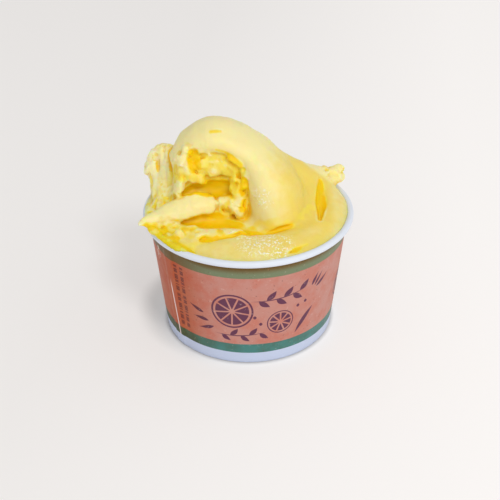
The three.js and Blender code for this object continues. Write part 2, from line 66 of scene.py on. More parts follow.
# ------------------------------------------------------------------ table and light
# A plain pale table top that runs out of sight, which glows by itself as painted light. A large soft window
# lights it from above the front right, a wall at the front left throws a little light back, and a pale room
# glows all round, more so on the right.


def colour(red, green, blue):
    """Scene-linear colour from the 0 to 255 values that a screen shows: ((c + 0.055) / 1.055) ^ 2.4."""
    shown = np.array([red, green, blue]) / 255.0
    linear = np.where(shown <= 0.04045, shown / 12.92, ((shown + 0.055) / 1.055) ** 2.4)
    return (*linear.tolist(), 1.0)


def new_material(name, base, roughness):
    """A material with this base colour and roughness. Returns it, its node tree and its Principled BSDF."""
    material = bpy.data.materials.new(name)
    material.use_nodes = True
    shader = material.node_tree.nodes["Principled BSDF"]
    shader.inputs["Base Color"].default_value = base
    shader.inputs["Roughness"].default_value = roughness
    return material, material.node_tree, shader


def mesh_object(name, points, faces, material):
    """A smooth object at the origin from points in millimetres and faces as rows of point numbers."""
    mesh = bpy.data.meshes.new(name)
    mesh.from_pydata((np.asarray(points) * MM).tolist(), [], faces)
    mesh.polygons.foreach_set("use_smooth", np.ones(len(mesh.polygons), bool))
    mesh.materials.append(material)
    made = bpy.data.objects.new(name, mesh)
    scene.collection.objects.link(made)
    return made


def plug(value, place):
    """Puts a socket's result, a number, a vector or a colour on an input."""
    if isinstance(value, bpy.types.NodeSocket):
        place.id_data.links.new(value, place)
    else:
        place.default_value = value


def add_node(tree, kind, inputs=(), **settings):
    """A shader node of a kind with these settings, and with (input, value) pairs on its inputs."""
    node = tree.nodes.new("ShaderNode" + kind)
    for name, setting in settings.items():
        setattr(node, name, setting)
    for label, value in inputs:
        plug(value, node.inputs[label])
    return node


def tree_of(*values):
    """The node tree of the first socket among some values. What is worked out from them goes there too."""
    return next(value.id_data for value in values if isinstance(value, bpy.types.NodeSocket))


def calc(operation, a, b=0.0, c=0.0, clamp=False):
    """One Math node on numbers or sockets. Returns its output."""
    inputs = enumerate((a, b, c))
    return add_node(tree_of(a, b, c), "Math", inputs, operation=operation, use_clamp=clamp).outputs[0]


def times(a, b, clamp=False):
    """a * b"""
    return calc("MULTIPLY", a, b, clamp=clamp)


def plus(a, b):
    """a + b"""
    return calc("ADD", a, b)


def minus(a, b):
    """a - b"""
    return calc("SUBTRACT", a, b)


def scaled(value, factor, offset, clamp=False):
    """value * factor + offset"""
    return calc("MULTIPLY_ADD", value, factor, offset, clamp)


def compare(operation, place, vector):
    """The number that a Vector Math node gives for a place and a fixed vector, such as their distance."""
    inputs = enumerate((place, vector))
    return add_node(tree_of(place), "VectorMath", inputs, operation=operation).outputs["Value"]


def ramp(value, low, high, start=0.0, end=1.0, curve="SMOOTHSTEP"):
    """A value mapped from low..high to start..end, by a smooth step or linearly, and level outside."""
    labels = ("Value", "From Min", "From Max", "To Min", "To Max")
    inputs = zip(labels, (value, low, high, start, end))
    return add_node(tree_of(value), "MapRange", inputs, interpolation_type=curve).outputs[0]


def place_in(tree, kind="Object"):
    """Where a point is, in the object's own frame, or as a direction with kind "Generated" in a world."""
    return add_node(tree, "TexCoord").outputs[kind]


TABLE_HALF = 4000.0
TABLE_PAINT = (0.52, 0.515, 0.511, 1.0)
TABLE_GLOW = (1.0, 0.965, 0.945, 1.0)
ROOM_GLOW = (1.0, 0.985, 0.975, 1.0)

table_paint, table_tree, table_shader = new_material("table_paint", TABLE_PAINT, 0.9)
table_place = place_in(table_tree)
# The table's own glow, a painted light, is a little brighter towards the right: from 8 cm left of the cup's
# middle to 10 cm right of it.
table_glow = ramp(compare("DOT_PRODUCT", table_place, (1.0, -0.15, 0.0)), -0.08, 0.1, 0.38, 0.48, "LINEAR")
# A painted shadow of the cup: the glow is dimmed in a thin line round its foot and in a crescent at the back
# left. Each row: middle, radius where that starts and ends in metres, and the share that is left.
for middle, near_by, far_off, share in (
    ((0.0, 0.0, 0.0), 0.0345, 0.037, 0.1),
    ((-0.006, 0.007, 0.0), 0.035, 0.0445, 0.58),
):
    table_glow = times(table_glow, ramp(compare("DISTANCE", table_place, middle), near_by, far_off, share))
plug(TABLE_GLOW, table_shader.inputs["Emission Color"])
plug(table_glow, table_shader.inputs["Emission Strength"])
table_corners = [(x * TABLE_HALF, y * TABLE_HALF, 0.0) for x, y in ((-1, -1), (1, -1), (1, 1), (-1, 1))]
mesh_object("table", table_corners, [(0, 1, 2, 3)], table_paint)

room = bpy.data.worlds.new("room")
room.use_nodes = True
background = room.node_tree.nodes["Background"]
# The room glows more at the upper right.
to_the_right = compare("DOT_PRODUCT", place_in(room.node_tree, "Generated"), (0.75, -0.1, 0.65))
plug(ROOM_GLOW, background.inputs["Color"])
plug(ramp(to_the_right, -0.7, 0.7, 0.38, 0.64, "LINEAR"), background.inputs["Strength"])
scene.world = room


def soft_lamp(name, place, size, watts, tint):
    """A square area lamp at a place in millimetres, turned towards the cup."""
    data = bpy.data.lights.new(name, "AREA")
    data.size = size * MM
    data.energy = watts
    data.color = tint
    lamp = bpy.data.objects.new(name, data)
    lamp.location = np.array(place) * MM
    lamp.rotation_euler = (Vector((0, 0, CUP_HEIGHT)) - Vector(place)).to_track_quat("-Z", "Y").to_euler()
    scene.collection.objects.link(lamp)


soft_lamp("window", (650, -1300, 1550), size=480, watts=15.7, tint=(1.0, 0.985, 0.96))
soft_lamp("front_wall", (-500, -1400, 900), size=900, watts=2.5, tint=(1.0, 0.99, 0.97))

# ------------------------------------------------------------------ cup wall
# One sheet of coated paper wound into a cone: its ends overlap in a glued seam at the left, its top edge is
# rolled outward, and its bottom edge is folded in and up round the skirt of the bottom disc.

RIM_RADIUS = 42.5
ROLL_RADIUS = 1.35
NECK_RADIUS = 40.2
FOOT_RADIUS = 35.0
PAPER = 0.5
HEM_HEIGHT = 6.2
ROLL_HEIGHT = CUP_HEIGHT - ROLL_RADIUS
ROLL_CENTRE = RIM_RADIUS - ROLL_RADIUS
SEAM_ANGLE = np.radians(-142.0)
SEAM_WIDTH = 7.0
SEAM_LIFT = 0.33
SEAM_EDGES = (0.5, 1.2)
OVAL = (0.12, 0.06)
WALL_COLUMNS = 288
OUTLINE_STEP = 2.0


def wall_radius(height):
    """Outside radius of the cone at a height: straight from the foot to the roll."""
    return FOOT_RADIUS + (NECK_RADIUS - FOOT_RADIUS) * height / ROLL_HEIGHT


def outline(marks):
    """A closed outline with the straight stretches between its marks cut into short pieces."""
    pieces = []
    for start, end in zip(marks, np.roll(marks, -1, 0)):
        count = max(1, int(np.ceil(np.linalg.norm(end - start) / OUTLINE_STEP)))
        pieces.append(start + (end - start) * (np.arange(count) / count)[:, None])
    return np.vstack(pieces)


def wall_outline():
    """The wall's section as [radius, height] points: up the inside, round the roll along a circle, down the
    outside, in under the foot, and up and down the fold round the disc's skirt."""
    turn = np.radians(np.linspace(180.0, -140.0, 40))
    roll = np.stack([ROLL_CENTRE + ROLL_RADIUS * np.cos(turn), ROLL_HEIGHT + ROLL_RADIUS * np.sin(turn)], 1)
    fold = 2 * PAPER + 0.6
    ahead = [(PAPER, 0.8)]
    behind = [
        (0.0, ROLL_HEIGHT - 1.7), (0.0, 0.6), (0.05, 0.3), (0.2, 0.08), (0.42, 0.0), (fold + 0.1, 0.0),
        (fold + 0.4, 0.08), (fold + PAPER, 0.4), (fold + PAPER, HEM_HEIGHT), (fold, HEM_HEIGHT), (fold, 0.8),
    ]
    inward = lambda marks: np.array([(wall_radius(height) - depth, height) for depth, height in marks])
    return outline(np.vstack([inward(ahead), roll, inward(behind)]))


def turned_object(name, section, columns, shift, material):
    """A closed section of [radius, height] points turned about the axis, with each radius grown by
    shift(angle, height). The faces look out where the section runs clockwise."""
    angle = SEAM_ANGLE + np.linspace(0.0, 2 * np.pi, columns, endpoint=False)
    radius = section[:, :1] + shift(angle[None, :], section[:, 1:])
    height = np.broadcast_to(section[:, 1:], radius.shape)
    points = np.stack([radius * np.cos(angle), radius * np.sin(angle), height], 2)
    i, j = np.indices(radius.shape)
    up, on = (i + 1) % len(section), (j + 1) % columns
    faces = np.stack([i * columns + j, up * columns + j, up * columns + on, i * columns + on], 2)
    return mesh_object(name, points.reshape(-1, 3), faces.reshape(-1, 4).tolist(), material)


wall_section = wall_outline()
on_outside = wall_section[:, :1] > wall_radius(wall_section[:, 1:]) - 0.1


def wall_shift(angle, height):
    """How far the paper stands off a true cone: the seam's second layer, with a sharp edge on one side and a
    soft one on the other, and a slight oval, cos 2a and cos 3a, that grows towards the rim."""
    along = ((angle - SEAM_ANGLE + np.pi) % (2 * np.pi) - np.pi) * wall_radius(height)
    sharp, soft = SEAM_EDGES
    step = np.clip((SEAM_WIDTH / 2 + along) / sharp, 0, 1) * np.clip((SEAM_WIDTH / 2 - along) / soft, 0, 1)
    below_roll = np.clip((ROLL_HEIGHT - 1.5 - height) / 0.6, 0, 1) * np.clip(height / 0.6, 0, 1)
    oval = OVAL[0] * np.cos(2 * angle + 0.6) + OVAL[1] * np.cos(3 * angle)
    return SEAM_LIFT * step * below_roll * on_outside + oval * height / CUP_HEIGHT


wall_paper, wall_tree, wall_shader = new_material("printed_paper", colour(222, 228, 238), 0.5)
plug(0.25, wall_shader.inputs["Specular IOR Level"])
cup_wall = turned_object("cup_wall_paper", wall_section, WALL_COLUMNS, wall_shift, wall_paper)
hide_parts("cup_wall")
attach(cup_wall, "root")

# The print is worked out in millimetres on the unrolled wall: how far along its curve from the middle of the
# ornament, and how high. The same ornament comes back on the other side, half a turn on.


def shared_effect(name, inputs, build):
    """A node group with these inputs and defaults. build works out its number outputs from the inputs."""
    group = bpy.data.node_groups.new(name, "ShaderNodeTree")
    for label, value in inputs.items():
        kind = "NodeSocketVector" if isinstance(value, tuple) else "NodeSocketFloat"
        group.interface.new_socket(label, in_out="INPUT", socket_type=kind).default_value = value
    results = build(group.nodes.new("NodeGroupInput").outputs)
    for label in results:
        group.interface.new_socket(label, in_out="OUTPUT", socket_type="NodeSocketFloat")
    ends = group.nodes.new("NodeGroupOutput").inputs
    for label, result in results.items():
        plug(result, ends[label])
    return group


def use_effect(group, **values):
    """A shared effect among the nodes that its values come from. Returns its outputs."""
    return add_node(tree_of(*values.values()), "Group", values.items(), node_tree=group).outputs


INK_EDGE = 0.16
SLICE_SEGMENTS = 9
# In shares of a slice's radius: from where to where its flesh goes, and its peel's middle and half width.
SLICE_FLESH = (0.13, 0.80)
SLICE_PEEL = (0.94, 0.055)
MARK_PLACE = {"Along": 0.0, "Up": 0.0, "At": 0.0, "High": 0.0, "Turn": 0.0}


def brush_mark_nodes(given):
    """A lens-shaped mark, |y| < w/2 (1 - s^2)(1 + taper s) with s from -1 to 1 along it, turned and bent."""
    x, y = minus(given["Along"], given["At"]), minus(given["Up"], given["High"])
    cosine, sine = calc("COSINE", given["Turn"]), calc("SINE", given["Turn"])
    lengthwise = plus(times(x, cosine), times(y, sine))
    crosswise = minus(times(y, cosine), times(x, sine))
    s = calc("DIVIDE", lengthwise, times(given["Length"], 0.5))
    squared = times(s, s)
    crosswise = minus(crosswise, times(squared, given["Bend"]))
    half = times(minus(1.0, squared), times(given["Width"], 0.5))
    half = times(half, scaled(s, given["Taper"], 1.0))
    inside = minus(half, calc("ABSOLUTE", crosswise))
    inked = scaled(inside, 1 / INK_EDGE, 0.5, clamp=True)
    return {"Mask": times(inked, calc("LESS_THAN", squared, 1.0))}


def fruit_slice_nodes(given):
    """A round cut of citrus: a thin ring of peel, and wedges kept apart by straight gaps of even width."""
    x, y = minus(given["Along"], given["At"]), minus(given["Up"], given["High"])
    radius = calc("SQRT", plus(times(x, x), times(y, y)))
    share = calc("DIVIDE", radius, given["Radius"])
    angle = plus(calc("ARCTAN2", y, x), given["Turn"])
    turns = calc("FRACT", scaled(angle, SLICE_SEGMENTS / (2 * np.pi), 40.0))
    from_middle = calc("ABSOLUTE", minus(turns, 0.5))
    to_gap = times(minus(0.5, from_middle), 2 * np.pi / SLICE_SEGMENTS)
    wedge = scaled(times(to_gap, radius), 1 / INK_EDGE, -1.6, clamp=True)
    edge = times(given["Radius"], 1 / INK_EDGE)
    below = times(minus(SLICE_FLESH[1], share), edge, clamp=True)
    above = times(minus(share, SLICE_FLESH[0]), edge, clamp=True)
    flesh = times(wedge, times(below, above))
    from_peel = calc("ABSOLUTE", minus(share, SLICE_PEEL[0]))
    peel = times(minus(SLICE_PEEL[1], from_peel), edge, clamp=True)
    return {"Mask": calc("MAXIMUM", flesh, peel)}


brush_mark = shared_effect(
    "brush_mark", {**MARK_PLACE, "Length": 5.0, "Width": 1.0, "Taper": 0.0, "Bend": 0.0}, brush_mark_nodes
)
fruit_slice = shared_effect("fruit_slice", {**MARK_PLACE, "Radius": 8.0}, fruit_slice_nodes)

ORNAMENT_ANGLE = np.radians(-85.0)
PRINT_RADIUS = 38.0

wall_place = place_in(wall_tree)
wall_x, wall_y, wall_z = add_node(wall_tree, "SeparateXYZ", [(0, wall_place)]).outputs
half_turns = scaled(calc("ARCTAN2", wall_y, wall_x), 1 / np.pi, 2.5 - ORNAMENT_ANGLE / np.pi)
along_wall = times(minus(calc("FRACT", half_turns), 0.5), np.pi * PRINT_RADIUS)
up_wall = times(wall_z, 1 / MM)

# Where the ornament's marks lie: [along, up, turn, length, width, taper, bend].
brush_marks = [
    [-25.6, 25.0, -0.4, 7.4, 1.5, 0.8, 0.2],
    [-23.8, 20.6, -0.06, 7.4, 1.5, 0.8, -0.2],
    [-21.6, 16.4, 0.32, 7.8, 1.5, 0.8, 0.2],
    [24.6, 36.8, -2.05, 6.6, 1.3, 0.8, 0.1],
    [26.6, 36.2, -2.15, 7.2, 1.1, 0.8, 0.1],
    [28.8, 34.4, -2.5, 7.8, 1.4, 0.8, -0.2],
    [20.3, 18.0, 0.93, 13.6, 2.2, 0.1, -0.5],
]
dots = [(-1.0, 24.0), (1.4, 20.5), (17.0, 26.5), (20.5, 27.5)]
# And its slices: [along, up, turn, radius].
fruit_slices = [[-10.0, 27.0, 0.2, 8.6], [9.6, 20.4, 0.5, 5.8], [50.0, 23.0, 0.1, 8.4]]


def sprig(along, up, turn, length, leaves, leaf):
    """A thin bent stem with leaves in turn on either side, the last one at its tip."""
    marks = [[along, up, turn, length, 0.5, 0.0, 0.9]]
    for n in range(leaves):
        s = -0.75 + 1.5 * n / (leaves - 1)
        side = 1 if n % 2 else -1
        stem_up = 0.9 * s * s
        x = along + s * length / 2 * np.cos(turn) - stem_up * np.sin(turn)
        y = up + s * length / 2 * np.sin(turn) + stem_up * np.cos(turn)
        lean = turn + side * 0.75
        x, y = x + leaf / 2 * np.cos(lean), y + leaf / 2 * np.sin(lean)
        marks.append([x, y, lean, leaf, 0.42 * leaf, -0.25, 0.3])
    return marks


brush_marks += sprig(9.0, 32.5, 0.10, 23.0, 6, 5.6)
brush_marks += sprig(-7.0, 14.6, 0.06, 21.0, 5, 4.8)
brush_marks += [[x, y, 0.0, 1.5, 1.6, 0.0, 0.0] for x, y in dots]

ink = 0.0
for effect, rows, labels in (
    (brush_mark, brush_marks, ("At", "High", "Turn", "Length", "Width", "Taper", "Bend")),
    (fruit_slice, fruit_slices, ("At", "High", "Turn", "Radius")),
):
    for row in rows:
        mark = use_effect(effect, Along=along_wall, Up=up_wall, **dict(zip(labels, row)))
        ink = calc("MAXIMUM", ink, mark["Mask"])

# Two narrow columns of fine bars stand beside the seam, where such cups carry their small print. Gaps at two
# pitches cut each column into pieces of different lengths.
BAR_COLUMNS = (-34.4, -31.2)
BAR_PITCH = 0.9
GAP_PITCHES = (4.7, 2.9)
BAR_HALF_WIDTH = 0.85
BAR_INK = 0.9


def noise(place, scale, detail=2.0, roughness=0.5):
    """A Noise Texture read at a place, with its scale in features per metre."""
    inputs = (("Scale", scale), ("Detail", detail), ("Roughness", roughness), ("Vector", place))
    return add_node(tree_of(place), "TexNoise", inputs).outputs["Fac"]


def mix_colour(share, first, second, blend="MIX"):
    """One colour towards another by a share; each is a colour or a socket."""
    inputs = ((0, share), (6, first), (7, second))
    return add_node(tree_of(share), "Mix", inputs, data_type="RGBA", blend_type=blend).outputs[2]


def turns_of(value, pitch):
    """How far a value has come in its turn of the pitch, from 0 to 1."""
    return calc("FRACT", times(value, 1 / pitch))


bar_turns = turns_of(up_wall, BAR_PITCH)
bars = scaled(times(ramp(bar_turns, 0.1, 0.25), ramp(bar_turns, 0.9, 0.7)), 0.5, 0.5)
for pitch in GAP_PITCHES:
    bars = times(bars, ramp(turns_of(up_wall, pitch), 0.14, 0.2))
bar_ends = times(ramp(up_wall, 11.4, 11.9), ramp(up_wall, 42.6, 42.1))
one_side = calc("LESS_THAN", wall_y, 0.0)
for column in BAR_COLUMNS:
    off = calc("ABSOLUTE", minus(along_wall, column))
    printed_bars = times(ramp(off, BAR_HALF_WIDTH + 0.1, BAR_HALF_WIDTH - 0.1), bars)
    printed_bars = times(printed_bars, times(bar_ends, one_side))
    ink = calc("MAXIMUM", ink, times(printed_bars, BAR_INK))

# The printed bands, from the foot up: bare white, teal, coral with the plum ornament, and sage.
TEAL_FROM = 5.4
CORAL_FROM = 10.0
SAGE_FROM = 43.6
PRINT_TO = ROLL_HEIGHT - 1.6
WHITE = colour(224, 231, 242)
FOOT_WHITE_IN_SHADE = colour(196, 207, 232)
TEAL = colour(70, 128, 122)
CORAL = colour(196, 137, 125)
SAGE = colour(118, 130, 99)
PLUM = colour(100, 53, 78)
MOTTLED = colour(255, 226, 214)
FADED = colour(236, 214, 206)
SPECKS = colour(96, 62, 58)
SHADE_BROWN = colour(239, 166, 90)
CUT_EDGE = colour(240, 214, 210)
SCUFFED = colour(226, 214, 200)

# The bands' borders wander by up to 0.15 mm. The teal and the coral are mottled, and over the ornament and
# all the bands lie faded patches and a few dark specks.
wobbly_up = plus(up_wall, scaled(noise(wall_place, 60.0), 0.3, -0.15))
band = lambda start: ramp(wobbly_up, start - INK_EDGE / 2, start + INK_EDGE / 2)
printed = mix_colour(band(CORAL_FROM), TEAL, CORAL)
printed = mix_colour(ramp(noise(wall_place, 150.0, 6.0, 0.62), 0.38, 0.66), printed, MOTTLED, "MULTIPLY")
printed = mix_colour(ink, printed, PLUM)
printed = mix_colour(band(SAGE_FROM), printed, SAGE)
printed = mix_colour(ramp(noise(wall_place, 700.0, 3.0, 0.7), 0.60, 0.74, 0.0, 0.25), printed, FADED)
printed = mix_colour(ramp(noise(wall_place, 1500.0, 0.0), 0.80, 0.83, 0.0, 0.55), printed, SPECKS)

# Painted shade: the inks are darkened to brown on the front half beside the seam and beyond the right end of
# the ornament, where the wall turns away, and close under the roll, where its shadow falls.
painted_shade = calc("MAXIMUM", ramp(along_wall, -14.0, -36.0), ramp(along_wall, 34.0, 54.0))
painted_shade = times(painted_shade, ramp(wall_y, 0.0, -9.0 * MM))
painted_shade = calc("MAXIMUM", painted_shade, ramp(up_wall, PRINT_TO - 4.5, PRINT_TO - 1.0))
printed = mix_colour(painted_shade, printed, SHADE_BROWN, "MULTIPLY")

# Only the outside is printed, from the teal band up to the roll.
radial = times(calc("SQRT", plus(times(wall_x, wall_x), times(wall_y, wall_y))), 1 / MM)
cone_slope = (NECK_RADIUS - FOOT_RADIUS) / ROLL_HEIGHT
stands_off = minus(radial, scaled(up_wall, cone_slope, FOOT_RADIUS))
outside = times(calc("GREATER_THAN", stands_off, -0.25), band(TEAL_FROM))
outside = times(outside, calc("LESS_THAN", up_wall, PRINT_TO))

# The seam's cut edge shows the paper's pale core, and the print beside it is scuffed near the rim.
EDGE_AT = -38.35
SCUFF_AT = (-46.5, 41.5)
SCUFF_HALF = (2.2, 5.0)
edge_lean = scaled(up_wall, -0.045, EDGE_AT + 1.2)
from_edge = calc("ABSOLUTE", minus(along_wall, edge_lean))
cut_edge = times(times(ramp(from_edge, 0.5, 0.25), ramp(up_wall, 34.0, 28.0)), one_side)
printed = mix_colour(cut_edge, printed, CUT_EDGE)
scuff_x, scuff_y = (
    scaled(value, 1 / half, -middle / half)
    for value, half, middle in zip((along_wall, up_wall), SCUFF_HALF, SCUFF_AT)
)
scuff = times(ramp(plus(times(scuff_x, scuff_x), times(scuff_y, scuff_y)), 1.0, 0.1), one_side)
scuff = times(scuff, ramp(noise(wall_place, 500.0, 3.0, 0.7), 0.46, 0.6))
printed = mix_colour(scuff, printed, SCUFFED)
# Painted shade: the bare paper darkens from the rim down towards the foot.
bare = mix_colour(ramp(up_wall, 6.0, 44.0), FOOT_WHITE_IN_SHADE, WHITE)
plug(mix_colour(outside, bare, printed), wall_shader.inputs["Base Color"])


def paper_skin_nodes(given):
    """Paper's own surface, satin under the varnish: height in metres from fine fibres and from the shallow
    waves of winding, and a roughness that varies a little round the satin's."""
    fibres = noise(given["Place"], 2600.0)
    winding = noise(given["Place"], 130.0, 1.0)
    height = plus(times(fibres, 0.012 * MM), times(winding, 0.12 * MM))
    patches = scaled(noise(given["Place"], 300.0, 3.0), 0.16, -0.08)
    return {"Height": height, "Roughness": plus(patches, given["Satin"])}


paper_skin = shared_effect("paper_skin", {"Place": (0.0, 0.0, 0.0), "Satin": 0.42}, paper_skin_nodes)


def bump(shader, height):
    """A Bump node from a height in metres to the shader's normal."""
    inputs = (("Distance", 1.0), ("Strength", 1.0), ("Height", height))
    plug(add_node(tree_of(height), "Bump", inputs).outputs[0], shader.inputs["Normal"])


def skin_paper(shader, place):
    """Puts the paper's own surface on a shader."""
    skin = use_effect(paper_skin, Place=place)
    plug(skin["Roughness"], shader.inputs["Roughness"])
    bump(shader, skin["Height"])


skin_paper(wall_shader, wall_place)

# ------------------------------------------------------------------ cup bottom
# A pressed disc of the same paper, held off the table by its skirt. The skirt hangs between the wall and the
# wall's fold, and all three are sealed together by heat.

BASE_LEVEL = 7.3
BASE_PRESSED = 0.5
BASE_COLUMNS = 144
BASE_SHADE = colour(214, 219, 230)


def base_outline():
    """The disc's section as [radius, height] points: the top from the middle out, down the skirt's outside,
    and back along its inside and the disc's underside. A shallow step is pressed into the disc."""
    middle, step, foot = 0.02, (24.0, 26.0), 1.1
    outer, inner = PAPER + 0.3, 2 * PAPER + 0.3
    pressed = BASE_LEVEL - BASE_PRESSED
    top = [(middle, pressed), (step[0], pressed), (step[1], BASE_LEVEL)]
    skirt = [(wall_radius(BASE_LEVEL) - outer, BASE_LEVEL), (wall_radius(foot) - outer, foot),
             (wall_radius(foot) - inner, foot), (wall_radius(BASE_LEVEL) - inner, BASE_LEVEL - PAPER)]
    under = [(radius, height - PAPER) for radius, height in reversed(top)]
    return outline(np.array(top + skirt + under))


white_paper, base_tree, base_shader = new_material("white_paper", WHITE, 0.5)
true_round = lambda angle, height: 0.0 * angle * height
cup_base = turned_object("cup_base_paper", base_outline(), BASE_COLUMNS, true_round, white_paper)
base_place = place_in(base_tree)
base_tint = ramp(noise(base_place, 90.0, 4.0), 0.35, 0.7)
plug(mix_colour(base_tint, WHITE, BASE_SHADE), base_shader.inputs["Base Color"])
skin_paper(base_shader, base_place)
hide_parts("cup_base")
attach(cup_base, "root")

# ------------------------------------------------------------------ sorbet
# Frozen fruit purée, packed into the cup with a spatula and swept up into one big wave that rolls over to
# the left. Where the spatula slid it is smooth, and where its strokes tore off it is ragged, pale and icy.

# Points are (x, y, h) in millimetres, with h above the rim's plane. The sorbet is one number at each point:
# below zero inside it, above zero outside, and about the distance to its surface.

# The corners of a cubic cell, and its edges as pairs of corners.
CORNERS = np.array([[n & 1, (n >> 1) & 1, n >> 2] for n in range(8)])
EDGES = [(a, a | bit) for a in range(8) for bit in (1, 2, 4) if not a & bit]


def join(a, b, fillet):
    """The smaller of two distances, rounded where they differ by less than a fillet f:
    min(a, b) - f/4 (1 - |a - b|/f)^2."""
    near = np.maximum(fillet - np.abs(a - b), 0.0) / fillet
    return np.minimum(a, b) - near * near * fillet * 0.25


def corner(i, j, k):
    """A fixed number from -1 to 1 for each corner of a cubic lattice, by an integer hash."""
    value = (i * np.uint32(374761393)) ^ (j * np.uint32(668265263)) ^ (k * np.uint32(2246822519))
    value = (value ^ (value >> np.uint32(13))) * np.uint32(1274126177)
    return (value ^ (value >> np.uint32(16))).astype(np.float32) / np.float32(2147483648.0) - 1.0


def lumps(points, size):
    """Value noise: the lattice's numbers, eased between its corners by t^2 (3 - 2t). Size is about the width
    of one lump."""
    lattice = points / size + 100.0
    cell = np.floor(lattice)
    t = (lattice - cell).astype(np.float32)
    t = t * t * (3.0 - 2.0 * t)
    cell = cell.astype(np.int64).astype(np.uint32)
    total = 0.0
    for bits in CORNERS.astype(np.uint32):
        x, y, z = np.where(bits, t, 1 - t).T
        total = total + x * y * z * corner(*(cell + bits).T)
    return total


def smooth_route(stations, steps):
    """Catmull-Rom curve through rows of numbers: each span is a cubic whose slope at a row is half the
    difference of its neighbours."""
    rows = np.asarray(stations, float)
    padded = np.vstack([2 * rows[0] - rows[1], rows, 2 * rows[-1] - rows[-2]])
    t = (np.arange(steps) / steps)[:, None]
    spans = [
        0.5 * (2 * b + (c - a) * t + (2 * a - 5 * b + 4 * c - d) * t**2 + (3 * b - a - 3 * c + d) * t**3)
        for a, b, c, d in zip(padded, padded[1:], padded[2:], padded[3:])
    ]
    return np.vstack([*spans, rows[-1:]])


def stroke(points, route, across):
    """Distance to an oval section carried along a route of [x, y, h, half width, half thickness] rows. With
    k0 the length of the offset in units of the half sizes, and k1 in units of their squares, that is
    k0 (k0 - 1) / k1."""
    wide = (np.asarray(across, float) / np.linalg.norm(across)).astype(np.float32)
    route = route.astype(np.float32)
    x, y, h = np.ascontiguousarray(points.T)
    nearest = np.full(len(points), 99.0, np.float32)
    for start, end in zip(route, route[1:]):
        along = end - start
        ox, oy, oh = x - start[0], y - start[1], h - start[2]
        t = (ox * along[0] + oy * along[1] + oh * along[2]) / (along[:3] @ along[:3] + np.float32(1e-6))
        np.clip(t, 0.0, 1.0, out=t)
        ox -= t * along[0]
        oy -= t * along[1]
        oh -= t * along[2]
        width = (start[3] + t * along[3]) ** 2
        depth = (start[4] + t * along[4]) ** 2
        sideways = (ox * wide[0] + oy * wide[1] + oh * wide[2]) ** 2
        rest = np.maximum(ox * ox + oy * oy + oh * oh - sideways, 0.0) / depth
        sideways /= width
        k0 = np.sqrt(sideways + rest)
        k1 = np.sqrt(sideways / width + rest / depth)
        np.minimum(nearest, k0 * (k0 - 1) / np.maximum(k1, np.float32(1e-6)), out=nearest)
    return nearest


def pits(points, size):
    """How far each point is from the sharp ridges between pits, from 1 in a pit's middle to about -0.8. The
    middles are the centres of a lattice's cells, moved about, and the value is 1 - 2 (distance to the
    nearest)."""
    lattice = points / np.float32(size) + np.float32(100)
    cell = np.floor(lattice).astype(np.int64)
    nearest = np.full(len(points), 9, np.float32)
    for step in np.ndindex(3, 3, 3):
        beside = cell + np.array(step) - 1
        i, j, k = beside.astype(np.uint32).T
        moved = np.stack([corner(i, j, k + np.uint32(series)) for series in (11, 57, 101)], 1)
        offset = lattice - (beside + 0.5 + 0.45 * moved).astype(np.float32)
        nearest = np.minimum(nearest, (offset * offset).sum(1))
    return 1 - 2 * np.sqrt(nearest)


def filling(points):
    """What fills the cup: a nearly level top, h - level(angle) - crown exp(-(radius / reach)^4), joined with
    a band of oval section that the last turn of the spatula pressed up along the wall."""
    x, y, h = points.T
    radius = np.hypot(x, y)
    round_the_cup = lambda rows: np.interp(np.degrees(np.arctan2(y, x)), *np.array(rows).T)
    level = round_the_cup([(-180, -1), (-150, -1.8), (-125, -1.6), (-105, -1.2), (60, -1), (120, -1.6),
                           (160, -1), (180, -1)])
    centre = round_the_cup([(-180, 30), (-110, 30.5), (-45, 31), (0, 33), (80, 30), (180, 30)])
    width = round_the_cup([(-180, 7), (-80, 9.5), (-45, 8), (0, 6), (180, 7)])
    lift = round_the_cup([(-180, -4.6), (-150, -5.2), (-120, -4.2), (-80, -3.1), (20, -3.3), (90, -4),
                          (180, -4.6)])
    depth = 5.2
    crown, crown_reach = 1.8, 29.0
    top = h - level - crown * np.exp(-((radius / crown_reach) ** 4))
    k0 = np.hypot((radius - centre) / width, (h - lift) / depth)
    k1 = np.hypot((radius - centre) / width**2, (h - lift) / depth**2)
    return np.maximum(join(top, k0 * (k0 - 1) / np.maximum(k1, 1e-6), 2.5), radius - ROLL_CENTRE)


# How far from a hollow the sorbet still takes the fresh colour, with the hollow's painted shade, without
# frost.
FRESH_DEPTH = 0.8

# The wave, from its foot at the right, over the top and down to the lip at the left.
WAVE = [
    [9.5, -3.0, -9.0, 18.0, 12.4], [11.4, -3.0, 0.0, 18.0, 11.8], [10.6, -2.0, 8.0, 17.0, 11.0],
    [7.8, -0.5, 15.2, 15.4, 9.4], [4.4, 1.0, 21.2, 14.0, 7.5], [0.2, 2.5, 25.5, 12.6, 6.3],
    [-6.2, 3.3, 29.3, 11.4, 6.0], [-13.0, 3.5, 31.0, 10.8, 6.2], [-19.0, 3.5, 29.1, 9.4, 5.8],
    [-24.0, 3.0, 25.9, 7.4, 4.6], [-27.8, 2.5, 21.8, 5.5, 3.0],
]

# The curtain's strands, from the back left rim to the lip: where they hang from and where they end.
STRAND_TOPS = [[-39.8, 9.0, 14.0, 1.7], [-37.2, 10.5, 18.5, 2.1], [-33.6, 11.5, 20.0, 2.3],
               [-30.3, 9.0, 20.0, 2.3], [-26.5, 1.0, 23.0, 2.4]]
STRAND_FEET = [[-37.2, -2.0, -2.0, 1.6], [-36.4, -4.5, -0.5, 2.0], [-33.0, -6.0, 1.0, 2.2],
               [-29.5, -5.5, 3.0, 2.2], [-24.8, -3.0, 8.0, 2.3]]
STRANDS = 10


